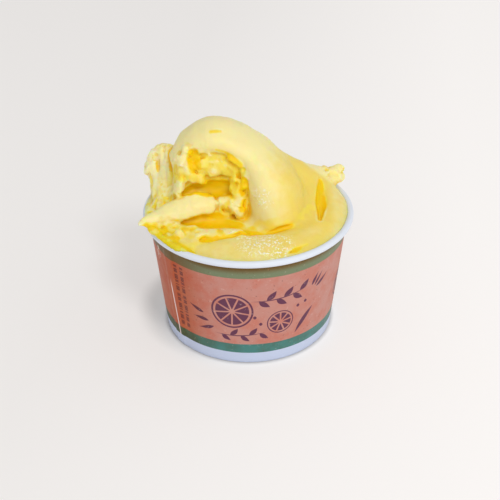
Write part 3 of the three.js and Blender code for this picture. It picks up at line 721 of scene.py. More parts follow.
class Pile:
    """The sorbet at some points: value is its field there, and the fresh share is how freshly opened it is
    and how much painted shade of hollows, pits and grooves it takes, from 0 to 1. A stroke is given by its
    stations, rows of [x, y, h, half width, half thickness]."""

    def __init__(self, points):
        self.points = points.astype(np.float32)
        self.value = filling(self.points).astype(np.float32)
        self.fresh_and_shade = np.zeros(len(points), np.float32)

    def near(self, stations, across=(0, 1, 0), steps=8, margin=8.0):
        """The points in a stroke's box, grown by its largest half size and a margin: which they are, where
        they are, and their distance to the stroke."""
        route = smooth_route(stations, steps)
        reach = route[:, 3:5].max() + margin
        low, high = route[:, :3].min(0) - reach, route[:, :3].max(0) + reach
        inside = ((self.points > low) & (self.points < high)).all(1)
        here = self.points[inside]
        return inside, here, stroke(here, route, across)

    def mark(self, inside, share):
        """Raises the fresh share, of freshly opened skin and of painted shade, to a share."""
        self.fresh_and_shade[inside] = np.maximum(self.fresh_and_shade[inside], share)

    def lay(self, stations, fillet, torn=0.0, lump=4.0, across=(0, 1, 0), steps=8):
        """Joins one stroke to the sorbet. Its skin is torn by two sizes of lumps."""
        inside, here, form = self.near(stations, across, steps)
        if torn:
            here = here.astype(float)
            form = form + torn * (lumps(here, lump) + 0.5 * lumps(here + 7.7, lump * 0.42))
        self.value[inside] = join(self.value[inside], form, fillet)

    def scoop(self, stations, edge, torn=0.0, lump=4.0, share=1.0):
        """Takes one stroke out of the sorbet, with a soft edge, and marks where its skin is freshly opened,
        up to a share of 1. The mark also paints the hollow's shade into the colour."""
        inside, here, form = self.near(stations)
        if torn:
            form = form + torn * lumps(here, lump)
        self.value[inside] = -join(-self.value[inside], form, edge)
        frayed = form + max(torn, 0.1) * lumps(here + 5.1, 2.2)
        self.mark(inside, share * np.clip(1.2 - frayed / FRESH_DEPTH, 0, 1))

    def tear(self, stations, depth, size, drawn=(1, 1, 1), share=0.8):
        """Roughens the skin inside a stroke into pits with sharp pale ridges, as where sorbet is pulled
        apart. The pits are bent out of round, and fresh sorbet shows in patches, most in the pits' middles,
        up to a share;
        there the golden colour is also painted shade."""
        inside, here, form = self.near(stations, steps=4, margin=0.5)
        mask = np.clip(-form / 1.5, 0, 1)
        pulled = here * np.asarray(drawn, np.float32)
        bent = pulled + 0.45 * size * lumps(pulled + 3.3, 0.6 * size)[:, None]
        pit = pits(bent, size)
        patches = lumps(pulled + 31.7, 1.5 * size)
        self.value[inside] += depth * mask * pit
        self.mark(inside, mask * np.clip(0.45 + 0.9 * patches + 0.4 * pit, 0, share))

    def paint_shade(self, stations, share):
        """Marks the skin inside a stroke with the strong golden of painted shade, up to a share of 1 at 1.5
        mm from its frayed border and less in patches."""
        inside, here, form = self.near(stations, steps=4, margin=0.5)
        depth = 1.2 * lumps(here + 8.8, 2.4) - form
        patches = np.clip(0.8 + 1.4 * lumps(here + 2.2, 2.8), 0.2, 1)
        self.mark(inside, np.clip(share * patches, 0, 1) * np.clip(depth / 1.5, 0, 1))

    def crumble(self, start, end, spread, size, count, series):
        """Crumbs strewn along a line from start to end: short fat strokes of about a size, turned every way
        by numbers that stay the same for each series."""
        i, j = np.indices((count, 8), dtype=np.uint32)
        chance = corner(i, j, np.full_like(i, series))
        place = np.linspace(start, end, count) + chance[:, :3] * spread
        half = chance[:, 3:6] * size * 0.7
        for middle, reach, (width, depth) in zip(place, half, size * (1 + 0.35 * chance[:, 6:])):
            stations = [[*(middle - reach), width, depth], [*(middle + reach), depth, width]]
            self.lay(stations, 1.2, 0.5, 2.4, steps=1)

    def hang_curtain(self):
        """Strands side by side, pulled up where the spatula left. Each bulges back by a parabola between its
        ends.
        Golden streaks of painted shade run down them, most in the grooves, where two strands are about
        equally near."""
        groove_width = 0.9
        place = np.linspace(0, len(STRAND_TOPS) - 1, STRANDS)
        marks = np.arange(len(STRAND_TOPS))
        mix = lambda rows: np.stack([np.interp(place, marks, column) for column in np.array(rows).T], 1)
        curtain = np.full(len(self.points), 99.0, np.float32)
        groove = np.zeros(len(self.points), np.float32)
        for n, (top, foot) in enumerate(zip(mix(STRAND_TOPS), mix(STRAND_FEET))):
            t = np.array([[0.0], [0.35], [0.7], [1.0]])
            rows = top + (foot - top) * t
            rows[:, 0] += 2.0 * t[:, 0] * (1 - t[:, 0])
            rows[:, 1] += 9.0 * t[:, 0] * (1 - t[:, 0]) + 0.9 * np.cos(2.6 * n)
            thick = rows[:, 3:] * (0.85 + 0.2 * np.cos(3.1 * n + 4 * t))
            inside, _, strand = self.near(np.hstack([rows[:, :3], 1.5 * thick, thick]), steps=4)
            beside = np.clip(1 - np.abs(curtain[inside] - strand) / groove_width, 0, 1)
            groove[inside] = np.where(strand < curtain[inside] + groove_width, beside, groove[inside])
            curtain[inside] = join(curtain[inside], strand, 0.7)
        close = curtain < 12
        here = self.points[close]
        drawn = here * (1, 1, 0.18)
        curtain[close] += 0.7 * lumps(drawn, 2.4) + 0.35 * lumps(drawn + 3.3, 1.3) + 0.2 * lumps(here, 2.0)
        streaks = np.clip(0.25 + 1.2 * lumps(drawn + 4.4, 1.2) + 0.5 * lumps(drawn + 9.9, 4.5), 0, 1)
        drawn_out = streaks * (0.45 + 0.4 * groove[close]) * np.clip((17 - here[:, 2]) / 10, 0.25, 1)
        self.mark(close, drawn_out * (curtain[close] < 0.6))
        self.value[close] = join(self.value[close], curtain[close], 0.8)


def pile_up(points):
    """The strokes in the order in which they were laid on, and the hollows between them. The numbers after a
    stroke's stations are for lay the fillet, for scoop the edge's softness, both then with how torn it is and
    the size of its lumps; for tear the pits' depth and size; and for the painted shade the share."""
    pile = Pile(points)

    # The back slope, and the wave on it.
    pile.lay([[-30, 14, 2, 7, 7], [-22, 16, 4, 8, 9], [-8, 19, 3, 9, 9], [8, 20, 0, 9, 8]], 5)
    pile.lay(WAVE, 3.5, 0.3, 9, steps=4)

    pile.lay([[12, 8, 13.6, 7, 6], [18, 9.5, 11, 6, 5.2], [24.5, 13.5, 6.6, 5, 3.6]], 4)

    # Behind the open inside of the curl.
    pile.lay([[-28, 9, 7, 7, 8], [-20, 9, 13, 9, 9], [-12, 9, 14, 10, 11], [-2, 9, 12, 10, 11]], 2, 0.4, 5)

    # The ridge from the wave's right foot to the front, the mass at the right, and the flake over the back.
    pile.lay([[19, 12, 5, 8, 7], [24, 7, 3.2, 6, 5], [25, -3, 0.4, 5.4, 4.2], [24, -13, -2.4, 5.4, 4.2]], 4.5)
    pile.lay([[26, 15, 2.6, 7, 5], [32.5, 9, -0.6, 6, 4.6], [34, -3, -2.2, 5, 4.2], [30, -14, -3.6, 5, 4]], 5)
    pile.lay([[25, 14, 6.0, 4.6, 3], [31.2, 15.5, 5.2, 4.4, 2.3], [34.9, 16.8, 4.7, 4.0, 2.1],
        [37.2, 17.6, 4.3, 3.4, 2.0], [38.8, 18.2, 3.8, 2.4, 1.6]], 2.5, 0.5, 3, across=(0, 1, 0.5))
    pile.crumble((29, 17.5, 7), (38.2, 20.2, 5.6), (0.8, 0.8, 0.5), 1.4, 7, 6)

    pile.lay([[-35.5, -13, -1.6, 2.6, 2], [-37.6, -5, -0.9, 2.6, 2.4], [-37.8, 3, -0.6, 2.6, 2.4],
        [-36, 10, -0.6, 3, 2.4]], 3)
    pile.lay([[-36.6, 11.5, 1.6, 2.4, 3.4], [-35.6, 9.6, 4.6, 3, 4.6], [-32.6, 8.6, 7, 4, 5]], 2.5)
    pile.hang_curtain()
    for x, y, h, drop in [(-28.8, 0.5, 23.5, 18), (-27.6, -2.4, 24.5, 17.5), (-26.6, -4.4, 25, 15)]:
        pile.lay([[x, y, h, 1.7, 1.3], [x + 0.7, y - 1.6, h - 0.5 * drop, 1.9, 1.3],
            [x - 0.8, y - 2.6, h - drop, 2.2, 1.8]], 1.2, 0.6, 2.6)
    pile.crumble((-40, 8.5, 10), (-38.6, 10, 16.4), (0.5, 0.8, 1), 1.4, 5, 7)
    pile.crumble((-38.2, 10.5, 18), (-31, 10, 21), (0.8, 0.8, 0.6), 1.4, 6, 8)

    # The torn inside of the curl: a roll under the lip, and the side of the wave's foot.
    pile.lay([[-23, 0, 21.5, 5.5, 5], [-14, 0, 23, 6.5, 5.5], [-5, 0, 21, 6.5, 5.5], [-2, -1, 15, 6, 5]],
        1, 0.6, 4)
    pile.lay([[-3.4, -1, 16, 6, 5], [-2.5, -3.5, 11, 6, 4.4], [-3, -6, 5, 5.5, 4]], 1, 0.7, 3.5)
    pile.scoop([[-20.4, -7.5, 27, 3.2, 1.8], [-20.4, -7.5, 22, 3.4, 2.2]], 1.6, 0.7, 3)
    pile.scoop([[-12, -8.8, 28.8, 1.4, 0.8], [-7.8, -8.8, 27, 1.4, 1.0], [-3.2, -9, 23.6, 1.4, 0.8]], 0.6)
    pile.scoop([[-1.8, -9.8, 17.4, 1.8, 1.2], [-1.2, -10.4, 12, 2, 1.5]], 0.8, 0.4, 2.4)
    pile.scoop([[-1.4, -11.2, 8.4, 1.4, 0.8], [-2.2, -11.4, 5.4, 1.6, 1.0]], 0.8, 0.3, 2)

    pile.lay([[-24, -0.5, 10.5, 4.5, 6], [-14, 0, 12, 5, 6.5], [-6, -0.5, 11, 5, 6]], 1)
    pile.lay([[-11, -1, 6, 6, 4], [-5, -2, 6, 6.4, 4]], 1.5)
    pile.lay([[-33, -10, 0, 4, 2.6], [-24, -6.5, 1.2, 6, 4], [-14, -3.5, 1.6, 7.2, 4], [-8, -3, 1, 6.5, 3.4]],
        1.5)
    pile.scoop([[-26, -6.2, 8.6, 1.8, 1.4], [-21, -5.4, 10.4, 3.0, 2.6], [-14, -5.4, 11.4, 3.4, 3.5],
        [-7.4, -6.0, 11.6, 2.8, 2.6]], 1.2, 0.5, 4)

    # The pieces on them, and the wave's edge pressed down beside them.
    pile.lay([[-7, -7.4, 25.6, 1.4, 1.2], [-3.2, -7.8, 23.4, 1.6, 1.4], [-1.6, -8.2, 19.6, 1.7, 1.5],
        [-1.6, -8.6, 14.5, 1.7, 1.4]], 1.6, 0.3, 3)
    pile.lay([[-24.2, -5.0, 29, 1.6, 1.3], [-24.8, -5.6, 24, 1.5, 1.3], [-24.2, -5.6, 19.5, 1.7, 1.5],
        [-21.5, -5.2, 16.5, 1.9, 1.6]], 1.8, 0.6, 2.6)
    pile.lay([[-9, -4.6, 20.8, 2.8, 3.0], [-4.9, -4.8, 20.6, 2.6, 2.8]], 2, 0.6, 2.8)
    pile.lay([[-17, -4.8, 20.6, 2.2, 2.6], [-13.4, -4.6, 19, 2.2, 2]], 2, 0.7, 2.8)
    pile.lay([[-22, -4.6, 16.8, 2.4, 2], [-18.6, -4.6, 15.8, 2.4, 2.4]], 2, 0.7, 2.8)
    pile.lay([[-4.8, -7.2, 15.4, 1.8, 2], [-5.0, -8, 10.8, 2, 2]], 1.6, 0.6, 2.6)
    pile.lay([[-10, -8, 6.2, 2.4, 2.6], [-6, -9, 6.8, 2.8, 3.0], [-4.4, -9.6, 5, 2.6, 2.6],
        [-3.6, -10.2, 2.6, 2.2, 2.0]], 1.6, 0.7, 2.8)
    pile.tear([[-24, -6, 21.5, 5, 7.5], [-12, -7, 20.5, 5, 7.5], [-5, -8, 18.5, 4, 7]], 0.8, 4.6, share=0.6)
    pile.tear([[-24, -6, 21.5, 5, 8], [-12, -7, 20.5, 5, 8], [-4, -8, 17, 4.5, 8], [-4, -9, 8, 4.5, 5]],
        0.22, 2.4, share=0.0)
    pile.tear([[-3.8, -9, 15, 4, 3.6], [-4, -10, 8, 4, 4.4], [-8, -10, 4.6, 4, 4]], 0.7, 3.8, share=0.6)

    # The smooth tongue, drawn out to a tip over the left rim, and the low leaf under it.
    pile.lay([[-14.6, -9, 6.4, 3.8, 2.1], [-18.5, -9.6, 6.8, 4.9, 2.5], [-23, -10.6, 6.3, 5.2, 2.6],
        [-28, -11.9, 5.3, 4.9, 2.4], [-33, -13.5, 4.1, 4.1, 2.1], [-37.6, -15.3, 3.2, 2.9, 1.8],
        [-40.4, -16.6, 2.8, 1.7, 1.2], [-42.4, -17.4, 2.4, 0.7, 0.6]], 1.2, 0.45, 4, across=(0.1, 1, 0.95))
    pile.lay([[-20, -22.4, -1.2, 3, 1.8], [-14, -22.6, -0.5, 4, 2.2], [-7, -22.4, 0, 3.4, 2.1],
        [-1, -22.6, 0.5, 1.2, 1.1]], 2, 0.4, 3.5)

    # The torn mass at the front left.
    pile.lay([[-36, -15.5, -0.1, 2.6, 1.6], [-32.2, -20, -0.3, 3, 1.7], [-27.6, -25, -0.5, 3, 1.7],
        [-22, -30, -1.2, 2.4, 1.6]], 2, 0.5, 3.5)
    pile.lay([[-32.5, -15.5, -2, 3, 2.4], [-27, -19, -1.4, 5, 2.8], [-19, -23, -1.2, 5, 2.8]], 2, 0.9, 4)
    pile.crumble((-31, -16.5, -0.9), (-20, -24, -0.6), (1.5, 2.2, 0.5), 2.0, 7, 4)
    pile.crumble((-29, -16.5, -0.2), (-19, -19.5, 0), (1.5, 1, 0.4), 1.7, 4, 5)
    pile.lay([[-39.6, -14.2, 1.2, 1.6, 1.2], [-37.9, -18.2, 0.9, 1.9, 1.2], [-35.4, -21.8, 0.6, 1.9, 1.1],
        [-31.2, -26.5, 0.2, 1.8, 1.0], [-26.3, -30.9, -0.2, 1.7, 0.9], [-21, -34.4, -0.8, 1.4, 0.8]],
        1.5, 0.4, 2.8)
    pile.lay([[-39.4, -10, 0.2, 1.4, 1], [-40.2, -3, 0.1, 1.4, 1], [-40, 5, 0, 1.4, 1],
        [-37.6, 13, -0.4, 1.4, 1]], 1.5, 0.3, 2.8)
    pile.tear([[-36, -13, -2, 5, 3], [-30, -18, -1, 6, 3.4], [-18, -23, 0, 4.5, 3]], 0.9, 3.4)
    pile.tear([[33, 17, 5, 5, 4], [42, 19.5, 5, 5, 4]], 0.7, 2.8, share=0.3)
    pile.tear([[-40.2, 7, 7, 4, 3], [-39.7, 10, 17, 4, 3.4], [-33, 11, 22.4, 4, 3]],
        0.7, 2.6, drawn=(1, 1, 0.5), share=0.1)
    pile.tear([[-19, -13, 2.6, 2.4, 2], [-28, -15, 1.6, 2.4, 2], [-36, -17.5, 0.6, 2.4, 2]], 0.8, 2.8)

    # Hollows: the groove at the right, the cave under the tongue, the crease and the small dent in front.
    pile.scoop([[29.9, 9, 6.6, 0.9, 0.8], [29.7, 5, 5.4, 1.5, 1.4], [29.4, 0, 4.2, 1.8, 1.8],
        [29.1, -5, 3.3, 1.9, 1.8], [28.6, -10, 2.2, 1.2, 1.0], [28, -15, 2.2, 0.6, 0.4]], 1.4)
    pile.scoop([[-26.5, -14.2, 1.0, 2.2, 1.2], [-21, -13.6, 1.0, 3.2, 2.2], [-12, -13.2, 1.2, 3.6, 2.6],
        [-5.5, -14.6, 1.0, 2.6, 1.9], [-0.5, -17.4, 1.3, 1.4, 1.0], [3.5, -19.6, 1.7, 0.6, 0.4]], 0.8, 0.5, 3)
    pile.scoop([[-14, -27.2, 1.2, 0.5, 0.4], [-6, -24.8, 1.4, 0.6, 0.55], [0, -22.4, 1.1, 0.9, 0.9],
        [6.5, -22.4, 1.0, 0.7, 0.6]], 1, 0.3, 3)
    pile.scoop([[-18.4, -26.8, 0.5, 0.9, 0.6], [-15.8, -26.4, 0.8, 1.6, 1.1], [-12.4, -26.4, 1.0, 0.8, 0.6]],
        1.4, 0.6, 2.4)
    pile.scoop([[-3.6, -16.8, 0.5, 1.5, 1.2], [0.4, -19.9, 0.4, 1.1, 0.9], [4.3, -21.7, 0.3, 0.9, 0.8],
        [8.3, -21.9, 0.7, 0.8, 0.7], [12.3, -20.8, 1.7, 0.7, 0.6], [16.3, -19.7, 2.3, 0.5, 0.4],
        [19, -18, 3.2, 0.2, 0.2]], 1.8, 0.15, 3)
    pile.scoop([[14.6, -35, -0.6, 0.4, 0.2], [18.3, -33, 0.2, 0.5, 0.3], [22.4, -30, 0.7, 0.3, 0.2]],
        1.2, 0.3, 2, share=0.9)
    pile.scoop([[-14, -3.8, 35.2, 0.3, 0.15], [-12, -3.6, 35.15, 0.4, 0.2], [-10.4, -3.3, 35, 0.3, 0.15]],
        0.5)

    # Painted shade: the strong golden of shaded sorbet along the wall at the left and behind the curtain, and
    # under the wave's foot.
    pile.paint_shade([[-40.4, -13, 0.4, 2.6, 3], [-38.5, -18, 0.4, 3.6, 4], [-34, -24, 0.2, 4, 4],
        [-28, -30, 0, 3.6, 3.4], [-21, -34.5, -0.2, 2.6, 2.4]], 2.4)
    pile.paint_shade([[-39, -8, -0.3, 2.6, 2.4], [-39.4, 2, -0.3, 2.6, 2.4], [-36.4, 13, -0.6, 2.6, 2.4]], 1.3)
    pile.paint_shade([[-31, -17.5, 0.6, 5, 2.6], [-22, -21, 0.8, 5.5, 2.6], [-10, -23, 1, 3.5, 2]], 0.9)
    pile.paint_shade([[-34, -16.6, 0.6, 2, 2], [-31, -20.8, 0.6, 2.4, 2], [-26.5, -25.2, 0.4, 2.2, 2]], 1.3)
    pile.paint_shade([[-22, -31, 0, 4, 2], [-6, -27.5, 0.6, 3, 2], [10, -24, 0.6, 3, 2], [26, -18, 0.8, 3, 2]], 0.35)
    pile.paint_shade([[-38, 6, 3, 5, 6], [-33, 2, 7, 5, 8], [-28, -2, 10, 5, 9]], 0.34)
    pile.paint_shade([[-3, -15.5, 3, 3, 4], [7, -20, 3, 3, 3.6], [18, -17, 4.6, 3, 3.6], [25, -8, 4, 3, 3]], 0.4)
    pile.paint_shade([[-23, -4, 18, 6, 8], [-12, -5, 19, 6, 8], [-4, -7, 13, 4.5, 8]], 0.55)

    # Ripples of the spatula, all over.
    skin = np.abs(pile.value) < 2.5
    pile.value[skin] += 0.14 * lumps(pile.points[skin], 3.4)
    return pile


def sorbet_field(points):
    """Below zero inside the sorbet, above zero outside."""
    return pile_up(points).value


def in_cup(points):
    """The room that the cup leaves: inside its wall, and outside the roll's round section. The sorbet touches
    the paper, so it reaches a fifth of a millimetre into it."""
    touch = 0.2
    radius = np.hypot(points[:, 0], points[:, 1])
    height = points[:, 2] + CUP_HEIGHT
    wall = radius - (wall_radius(height) - PAPER + touch)
    roll = ROLL_RADIUS - touch - np.hypot(radius - ROLL_CENTRE, height - ROLL_HEIGHT)
    return np.where(height < ROLL_HEIGHT, wall, roll)


def pile_field(points):
    """The sorbet as far as there is room for it: the larger of the two fields."""
    return np.maximum(sorbet_field(points), in_cup(points))


# The surface is meshed on a cubic grid, above a level in the cup where the sorbet is a plain cone. It is
# looked for in the blocks of cells that have a corner nearer to it than BLOCK_REACH.
CELL = 0.5
CONE_TOP = -9.0
GRID_LOW = np.array([-46.0, -46.0, CONE_TOP - CELL])
GRID_CELLS = np.array([184, 184, 100])
BLOCK = 4
BLOCK_REACH = 4.5


def at_corner(values, bits):
    """The values at one corner of every cell."""
    return values[tuple(slice(bit, bit + size - 1) for bit, size in zip(bits, values.shape))]


def sample_grid():
    """The field on every grid corner: worked out on every fourth one, and then between those only in the
    blocks that the surface may cross."""
    coarse_count = GRID_CELLS // BLOCK + 1
    coarse_index = np.stack(np.meshgrid(*map(np.arange, coarse_count), indexing="ij"), 3)
    coarse = pile_field(GRID_LOW + CELL * (coarse_index * BLOCK).reshape(-1, 3)).reshape(coarse_count)
    grown = np.repeat(np.repeat(np.repeat(coarse, BLOCK, 0), BLOCK, 1), BLOCK, 2)
    values = grown[: GRID_CELLS[0] + 1, : GRID_CELLS[1] + 1, : GRID_CELLS[2] + 1].copy()
    near_surface = np.abs(coarse) < BLOCK_REACH
    starts = np.argwhere(np.any([at_corner(near_surface, bits) for bits in CORNERS], 0)) * BLOCK
    within = np.stack(np.meshgrid(*[np.arange(BLOCK + 1)] * 3, indexing="ij"), 3).reshape(-1, 3)
    # Each corner of these blocks once, with its three places in the grid for the moment as one number.
    index = np.unique((starts[:, None] + within).reshape(-1, 3) @ [10**6, 10**3, 1])
    index = np.stack([index // 10**6, index // 10**3 % 10**3, index % 10**3], 1)
    values[tuple(index.T)] = pile_field(GRID_LOW + CELL * index)
    floor = CONE_TOP - (GRID_LOW[2] + CELL * np.arange(GRID_CELLS[2] + 1))
    values = np.maximum(values, floor)
    return np.where(values == 0, 1e-6, values)


def hangs_together(corner_set):
    """Whether the corners marked in an 8-bit set are linked along the cell's edges."""
    reached = corner_set & -corner_set
    for _ in range(4):
        for a, b in EDGES:
            both = 1 << a | 1 << b
            if both & corner_set == both and reached & both:
                reached |= both
    return reached == corner_set


def mend_cells(values):
    """Fills the corners of cells in which two skins would meet, so that the surface is one clean skin."""
    simple = np.array([hangs_together(n) and hangs_together(255 - n) for n in range(256)])
    for _ in range(20):
        inside = (values < 0).astype(np.uint8)
        code = sum(at_corner(inside, bits) << n for n, bits in enumerate(CORNERS))
        bad = np.argwhere(~simple[code])
        if not len(bad):
            return
        places = bad[:, None] + CORNERS
        at = values[tuple(places.reshape(-1, 3).T)].reshape(-1, 8)
        pick = np.where(at > 0, at, np.inf).argmin(1)
        chosen = places[np.arange(len(bad)), pick]
        values[tuple(chosen.T)] = -0.01


def surface_net(values):
    """A point in each cell that the surface crosses, at the mean of its crossings, and a quad round each grid
    edge whose ends lie on different sides."""
    inside = values < 0
    count = sum(at_corner(inside.astype(np.int8), bits) for bits in CORNERS)
    cells = np.argwhere((count > 0) & (count < 8))
    at = values[tuple((cells[:, None] + CORNERS).reshape(-1, 3).T)].reshape(-1, 8)
    total = np.zeros((len(cells), 3))
    crossings = np.zeros(len(cells))
    for a, b in EDGES:
        crossed = (at[:, a] < 0) != (at[:, b] < 0)
        t = np.where(crossed, at[:, a] / np.where(crossed, at[:, a] - at[:, b], 1), 0)
        total += np.where(crossed[:, None], CORNERS[a] + t[:, None] * (CORNERS[b] - CORNERS[a]), 0)
        crossings += crossed
    points = GRID_LOW + CELL * (cells + total / crossings[:, None])
    number = np.full(values.shape, -1)
    number[tuple(cells.T)] = np.arange(len(cells))
    quads = []
    for axis in range(3):
        one, two = np.roll(np.eye(3, dtype=int), axis, 1)[1:]
        here = np.argwhere(np.diff(inside.astype(np.int8), axis=axis) != 0)
        here = here[(here > 0).all(1)]
        ring = np.stack([here - one - two, here - two, here, here - one], 1)
        quad = number[tuple(ring.reshape(-1, 3).T)].reshape(-1, 4)
        solid = inside[tuple(here.T)]
        quads.append(np.where(solid[:, None], quad, quad[:, ::-1]))
    return points, np.vstack(quads)


def only(points, quads, kept):
    """The kept faces, with the points that they use, numbered anew."""
    quads = quads[kept]
    used = np.zeros(len(points), bool)
    used[quads] = True
    return points[used], (np.cumsum(used) - 1)[quads]


def edges_of(quads):
    """The four edges of each face as pairs of points, each in the face's own direction."""
    return np.vstack([quads[:, [n, (n + 1) % 4]] for n in range(4)])


def largest_part(points, quads):
    """Keeps the faces of the largest linked part. The lowest label spreads along the faces' edges."""
    label = np.arange(len(points))
    one, other = edges_of(quads).T
    while True:
        before = label.copy()
        lowest = np.minimum(label[one], label[other])
        np.minimum.at(label, one, lowest)
        np.minimum.at(label, other, lowest)
        label = label[label]
        if (label == before).all():
            break
    main = np.bincount(label).argmax()
    return only(points, quads, label[quads[:, 0]] == main)


def settle(points):
    """Moves points onto the surface: against the field's slope, by the field's value there. Returns them and
    the directions in which the field rises."""
    reach = 0.05
    value = pile_field(points)
    slope = np.stack([pile_field(points + step) - value for step in reach * np.eye(3)], 1) / reach
    steepness = np.linalg.norm(slope, axis=1)[:, None]
    move = value[:, None] * slope / np.maximum(steepness**2, 0.25)
    length = np.linalg.norm(move, axis=1)[:, None]
    points = points - move * np.minimum(1, 0.4 * CELL / np.maximum(length, 1e-9))
    return points, slope / np.maximum(steepness, 1e-6)


def open_below(points, quads):
    """Takes the flat cut at the bottom of the pile away. Returns what is left, and the open edge as pairs."""
    low = points[:, 2] < CONE_TOP + 0.3 * CELL
    points, quads = only(points, quads, ~low[quads].all(1))
    directed = edges_of(quads)
    return points, quads, directed[~np.isin(directed @ [10**6, 1], directed @ [1, 10**6])]


def down_to_the_disc(points, quads, edge):
    """Carries the pile's round lower edge down the cone to a flat end on the bottom disc."""
    over_disc, off_wall = 0.05, 0.3
    rim = edge[:, 0]
    bottom = BASE_LEVEL + over_disc
    depth = bottom - CUP_HEIGHT
    angle = np.arctan2(points[rim, 1], points[rim, 0])
    radius = wall_radius(bottom) - PAPER - off_wall
    ring = np.stack([radius * np.cos(angle), radius * np.sin(angle), np.full(len(rim), depth)], 1)
    lower = np.full(len(points), -1)
    lower[rim] = len(points) + np.arange(len(rim))
    centre = len(points) + len(rim)
    sides = np.stack([edge[:, 1], edge[:, 0], lower[edge[:, 0]], lower[edge[:, 1]]], 1)
    cap = np.stack([lower[edge[:, 1]], lower[edge[:, 0]], np.full(len(rim), centre)], 1)
    points = np.vstack([points, ring, [[0, 0, depth]]])
    return points, [*quads.tolist(), *sides.tolist(), *cap.tolist()]


grid = sample_grid()
mend_cells(grid)
pile_points, pile_quads, pile_edge = open_below(*largest_part(*surface_net(grid)))
pile_points, normals = settle(pile_points)
sorbet_points, sorbet_faces = down_to_the_disc(pile_points, pile_quads, pile_edge)
sorbet_points[:, 2] += CUP_HEIGHT
sorbet_ice, sorbet_tree, sorbet_shader = new_material("sorbet", colour(243, 226, 150), 0.46)
sorbet = mesh_object("sorbet_pile", sorbet_points, sorbet_faces, sorbet_ice)

# What the look depends on, as one number for each point of the pile.
OPEN_REACHES = (1.0, 2.5, 5.0)
THIN_DEPTH = 1.1
# Rows of x, y, h, radius and strength: where the pulled strands at the back left are paler, and where white
# ice crystals show, on the wave's face, at the right end of the leaf and in the middle of the front. On the
# wave's face the crystals also paint its highlight.
PALER_SPOTS = [[-38.5, 8, 16, 8, 0.48], [-36, 4, 6, 7, 0.2]]
ICE_AND_HIGHLIGHT_SPOTS = [[5, -16, 12.5, 6, 0.65], [-4, -23, 1.5, 4, 1], [3, -30, 1, 7.5, 1], [11, -31, 1, 7, 1]]


def spots(rows):
    """Soft round spots added up, each its strength times exp(-(distance / radius)^2)."""
    spot = lambda row: row[4] * np.exp(-((pile_points - row[:3]) ** 2).sum(1) / row[3] ** 2)
    return sum(map(spot, np.array(rows)))


def rises(values, start, reach):
    """From 0 where the values are at the start to 1 a reach further on."""
    return np.clip((values - start) / reach, 0, 1)


def store(name, values):
    """Writes the numbers into a named attribute, with 0.5 at the points below the pile."""
    attribute = sorbet.data.attributes.new(name, "FLOAT", "POINT")
    padded = np.full(len(sorbet_points), 0.5, np.float32)
    padded[: len(values)] = values
    attribute.data.foreach_set("value", padded)


# Open: how fast the field rises off the skin, less in hollows. Thin: how little lies under a skin that stands
# open, as on edges and strands.
outward = [sorbet_field(pile_points + reach * normals) / reach for reach in OPEN_REACHES]
sorbet_open = np.mean(np.clip(outward, 0, 1), 0)
sorbet_thin = 1 - np.clip(-sorbet_field(pile_points - THIN_DEPTH * normals) / THIN_DEPTH, 0, 1)
sorbet_thin *= rises(sorbet_open, 0.65, 0.25)
sorbet_thin += spots(PALER_SPOTS) * rises(sorbet_open, 0.4, 0.25)
store("open", sorbet_open)
store("thin", np.clip(sorbet_thin, 0, 1))
store("fresh_and_shade", pile_up(pile_points).fresh_and_shade)
store("ice_and_highlight", np.clip(spots(ICE_AND_HIGHLIGHT_SPOTS), 0, 1))

# How far the skin turns golden: at the right, but not at the back, where the flake is, and at the front.
pile_x, pile_y = pile_points[:, 0], pile_points[:, 1]
golden_side = rises(pile_x, 4, 16) * rises(-pile_y, -15, 5)
golden_side *= 1 - 0.5 * rises(pile_x, 31, 4) - 0.4 * rises(-pile_y, 16, 8)
store("golden_side", golden_side + 0.5 * rises(-pile_y, 20, 6) * (1 - golden_side))

FRESH = colour(248, 208, 8)
SHADED = colour(226, 165, 0)
HOLLOW_SHADE_GOLD = colour(246, 206, 44)
GOLDEN = colour(238, 214, 102)
PALE = colour(243, 232, 166)
LEMON = colour(244, 224, 88)
FROST = colour(242, 240, 196)
CRYSTALS_AND_HIGHLIGHT = colour(255, 254, 242)
CRYSTAL_RELIEF = 0.35 * MM
GRAIN_RELIEF = 0.25 * MM
LIGHT_REACH = (1.0, 0.55, 0.12)


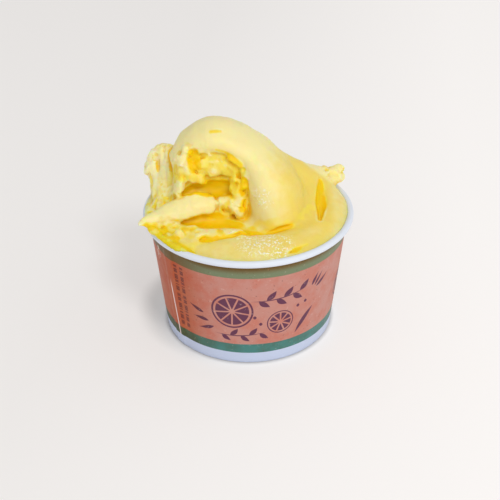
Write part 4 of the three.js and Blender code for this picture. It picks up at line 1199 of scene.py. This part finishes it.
def read_number(name):
    """The stored numbers of this name, among the sorbet's nodes."""
    return add_node(sorbet_tree, "Attribute", attribute_name=name).outputs["Fac"]


sorbet_place = place_in(sorbet_tree)
openness = read_number("open")
clouds = scaled(noise(sorbet_place, 70.0, 3.0), 0.5, -0.25)
clouds = plus(clouds, scaled(noise(sorbet_place, 260.0), 0.5, -0.25))
grains = noise(sorbet_place, 1050.0, 2.0, 0.65)

# The skin: painted shade makes it golden in hollows and paler in the open. It is golden too at the right and
# at the front, and frosted where it is thin.
lit = plus(openness, times(clouds, 0.85))
golden_patches = ramp(plus(clouds, read_number("golden_side")), 0.1, 0.9)
sorbet_colour = mix_colour(times(minus(1.0, golden_patches), ramp(lit, 0.5, 0.9)), GOLDEN, PALE)
sorbet_colour = mix_colour(ramp(lit, 0.2, 0.62), HOLLOW_SHADE_GOLD, sorbet_colour)
sorbet_colour = mix_colour(times(ramp(read_number("thin"), 0.15, 0.6), 0.75), sorbet_colour, FROST)
# White crystal specks; on the wave's face they are also a painted highlight.
ice_and_highlight = ramp(scaled(clouds, 1.2, read_number("ice_and_highlight")), 0.25, 0.75)
sorbet_colour = mix_colour(times(ramp(grains, 0.53, 0.62, 0.0, 0.95), ice_and_highlight), sorbet_colour, CRYSTALS_AND_HIGHLIGHT)

# Freshly opened sorbet is a strong yellow, lemon at its border. Painted shade makes it darker deep down, and
# more of it shows the less open the skin is.
opened = scaled(clouds, 0.5, times(read_number("fresh_and_shade"), minus(1.7, openness)))
sorbet_colour = mix_colour(ramp(opened, 0.1, 0.5), sorbet_colour, LEMON)
fresh_and_shade_colour = mix_colour(ramp(openness, 0.05, 0.4), SHADED, FRESH)
sorbet_colour = mix_colour(ramp(opened, 0.45, 0.9), sorbet_colour, fresh_and_shade_colour)

relief = plus(
    times(times(grains, ice_and_highlight), CRYSTAL_RELIEF), times(noise(sorbet_place, 420.0, 3.0), GRAIN_RELIEF)
)
bump(sorbet_shader, relief)
for label, value in (
    ("Base Color", sorbet_colour),
    ("Roughness", ramp(grains, 0.3, 0.7, 0.5, 0.34)),
    ("IOR", 1.34),
    ("Subsurface Weight", 0.7),
    ("Subsurface Radius", LIGHT_REACH),
    ("Subsurface Scale", 4.0 * MM),
):
    plug(value, sorbet_shader.inputs[label])
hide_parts("sorbet")
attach(sorbet, "root")
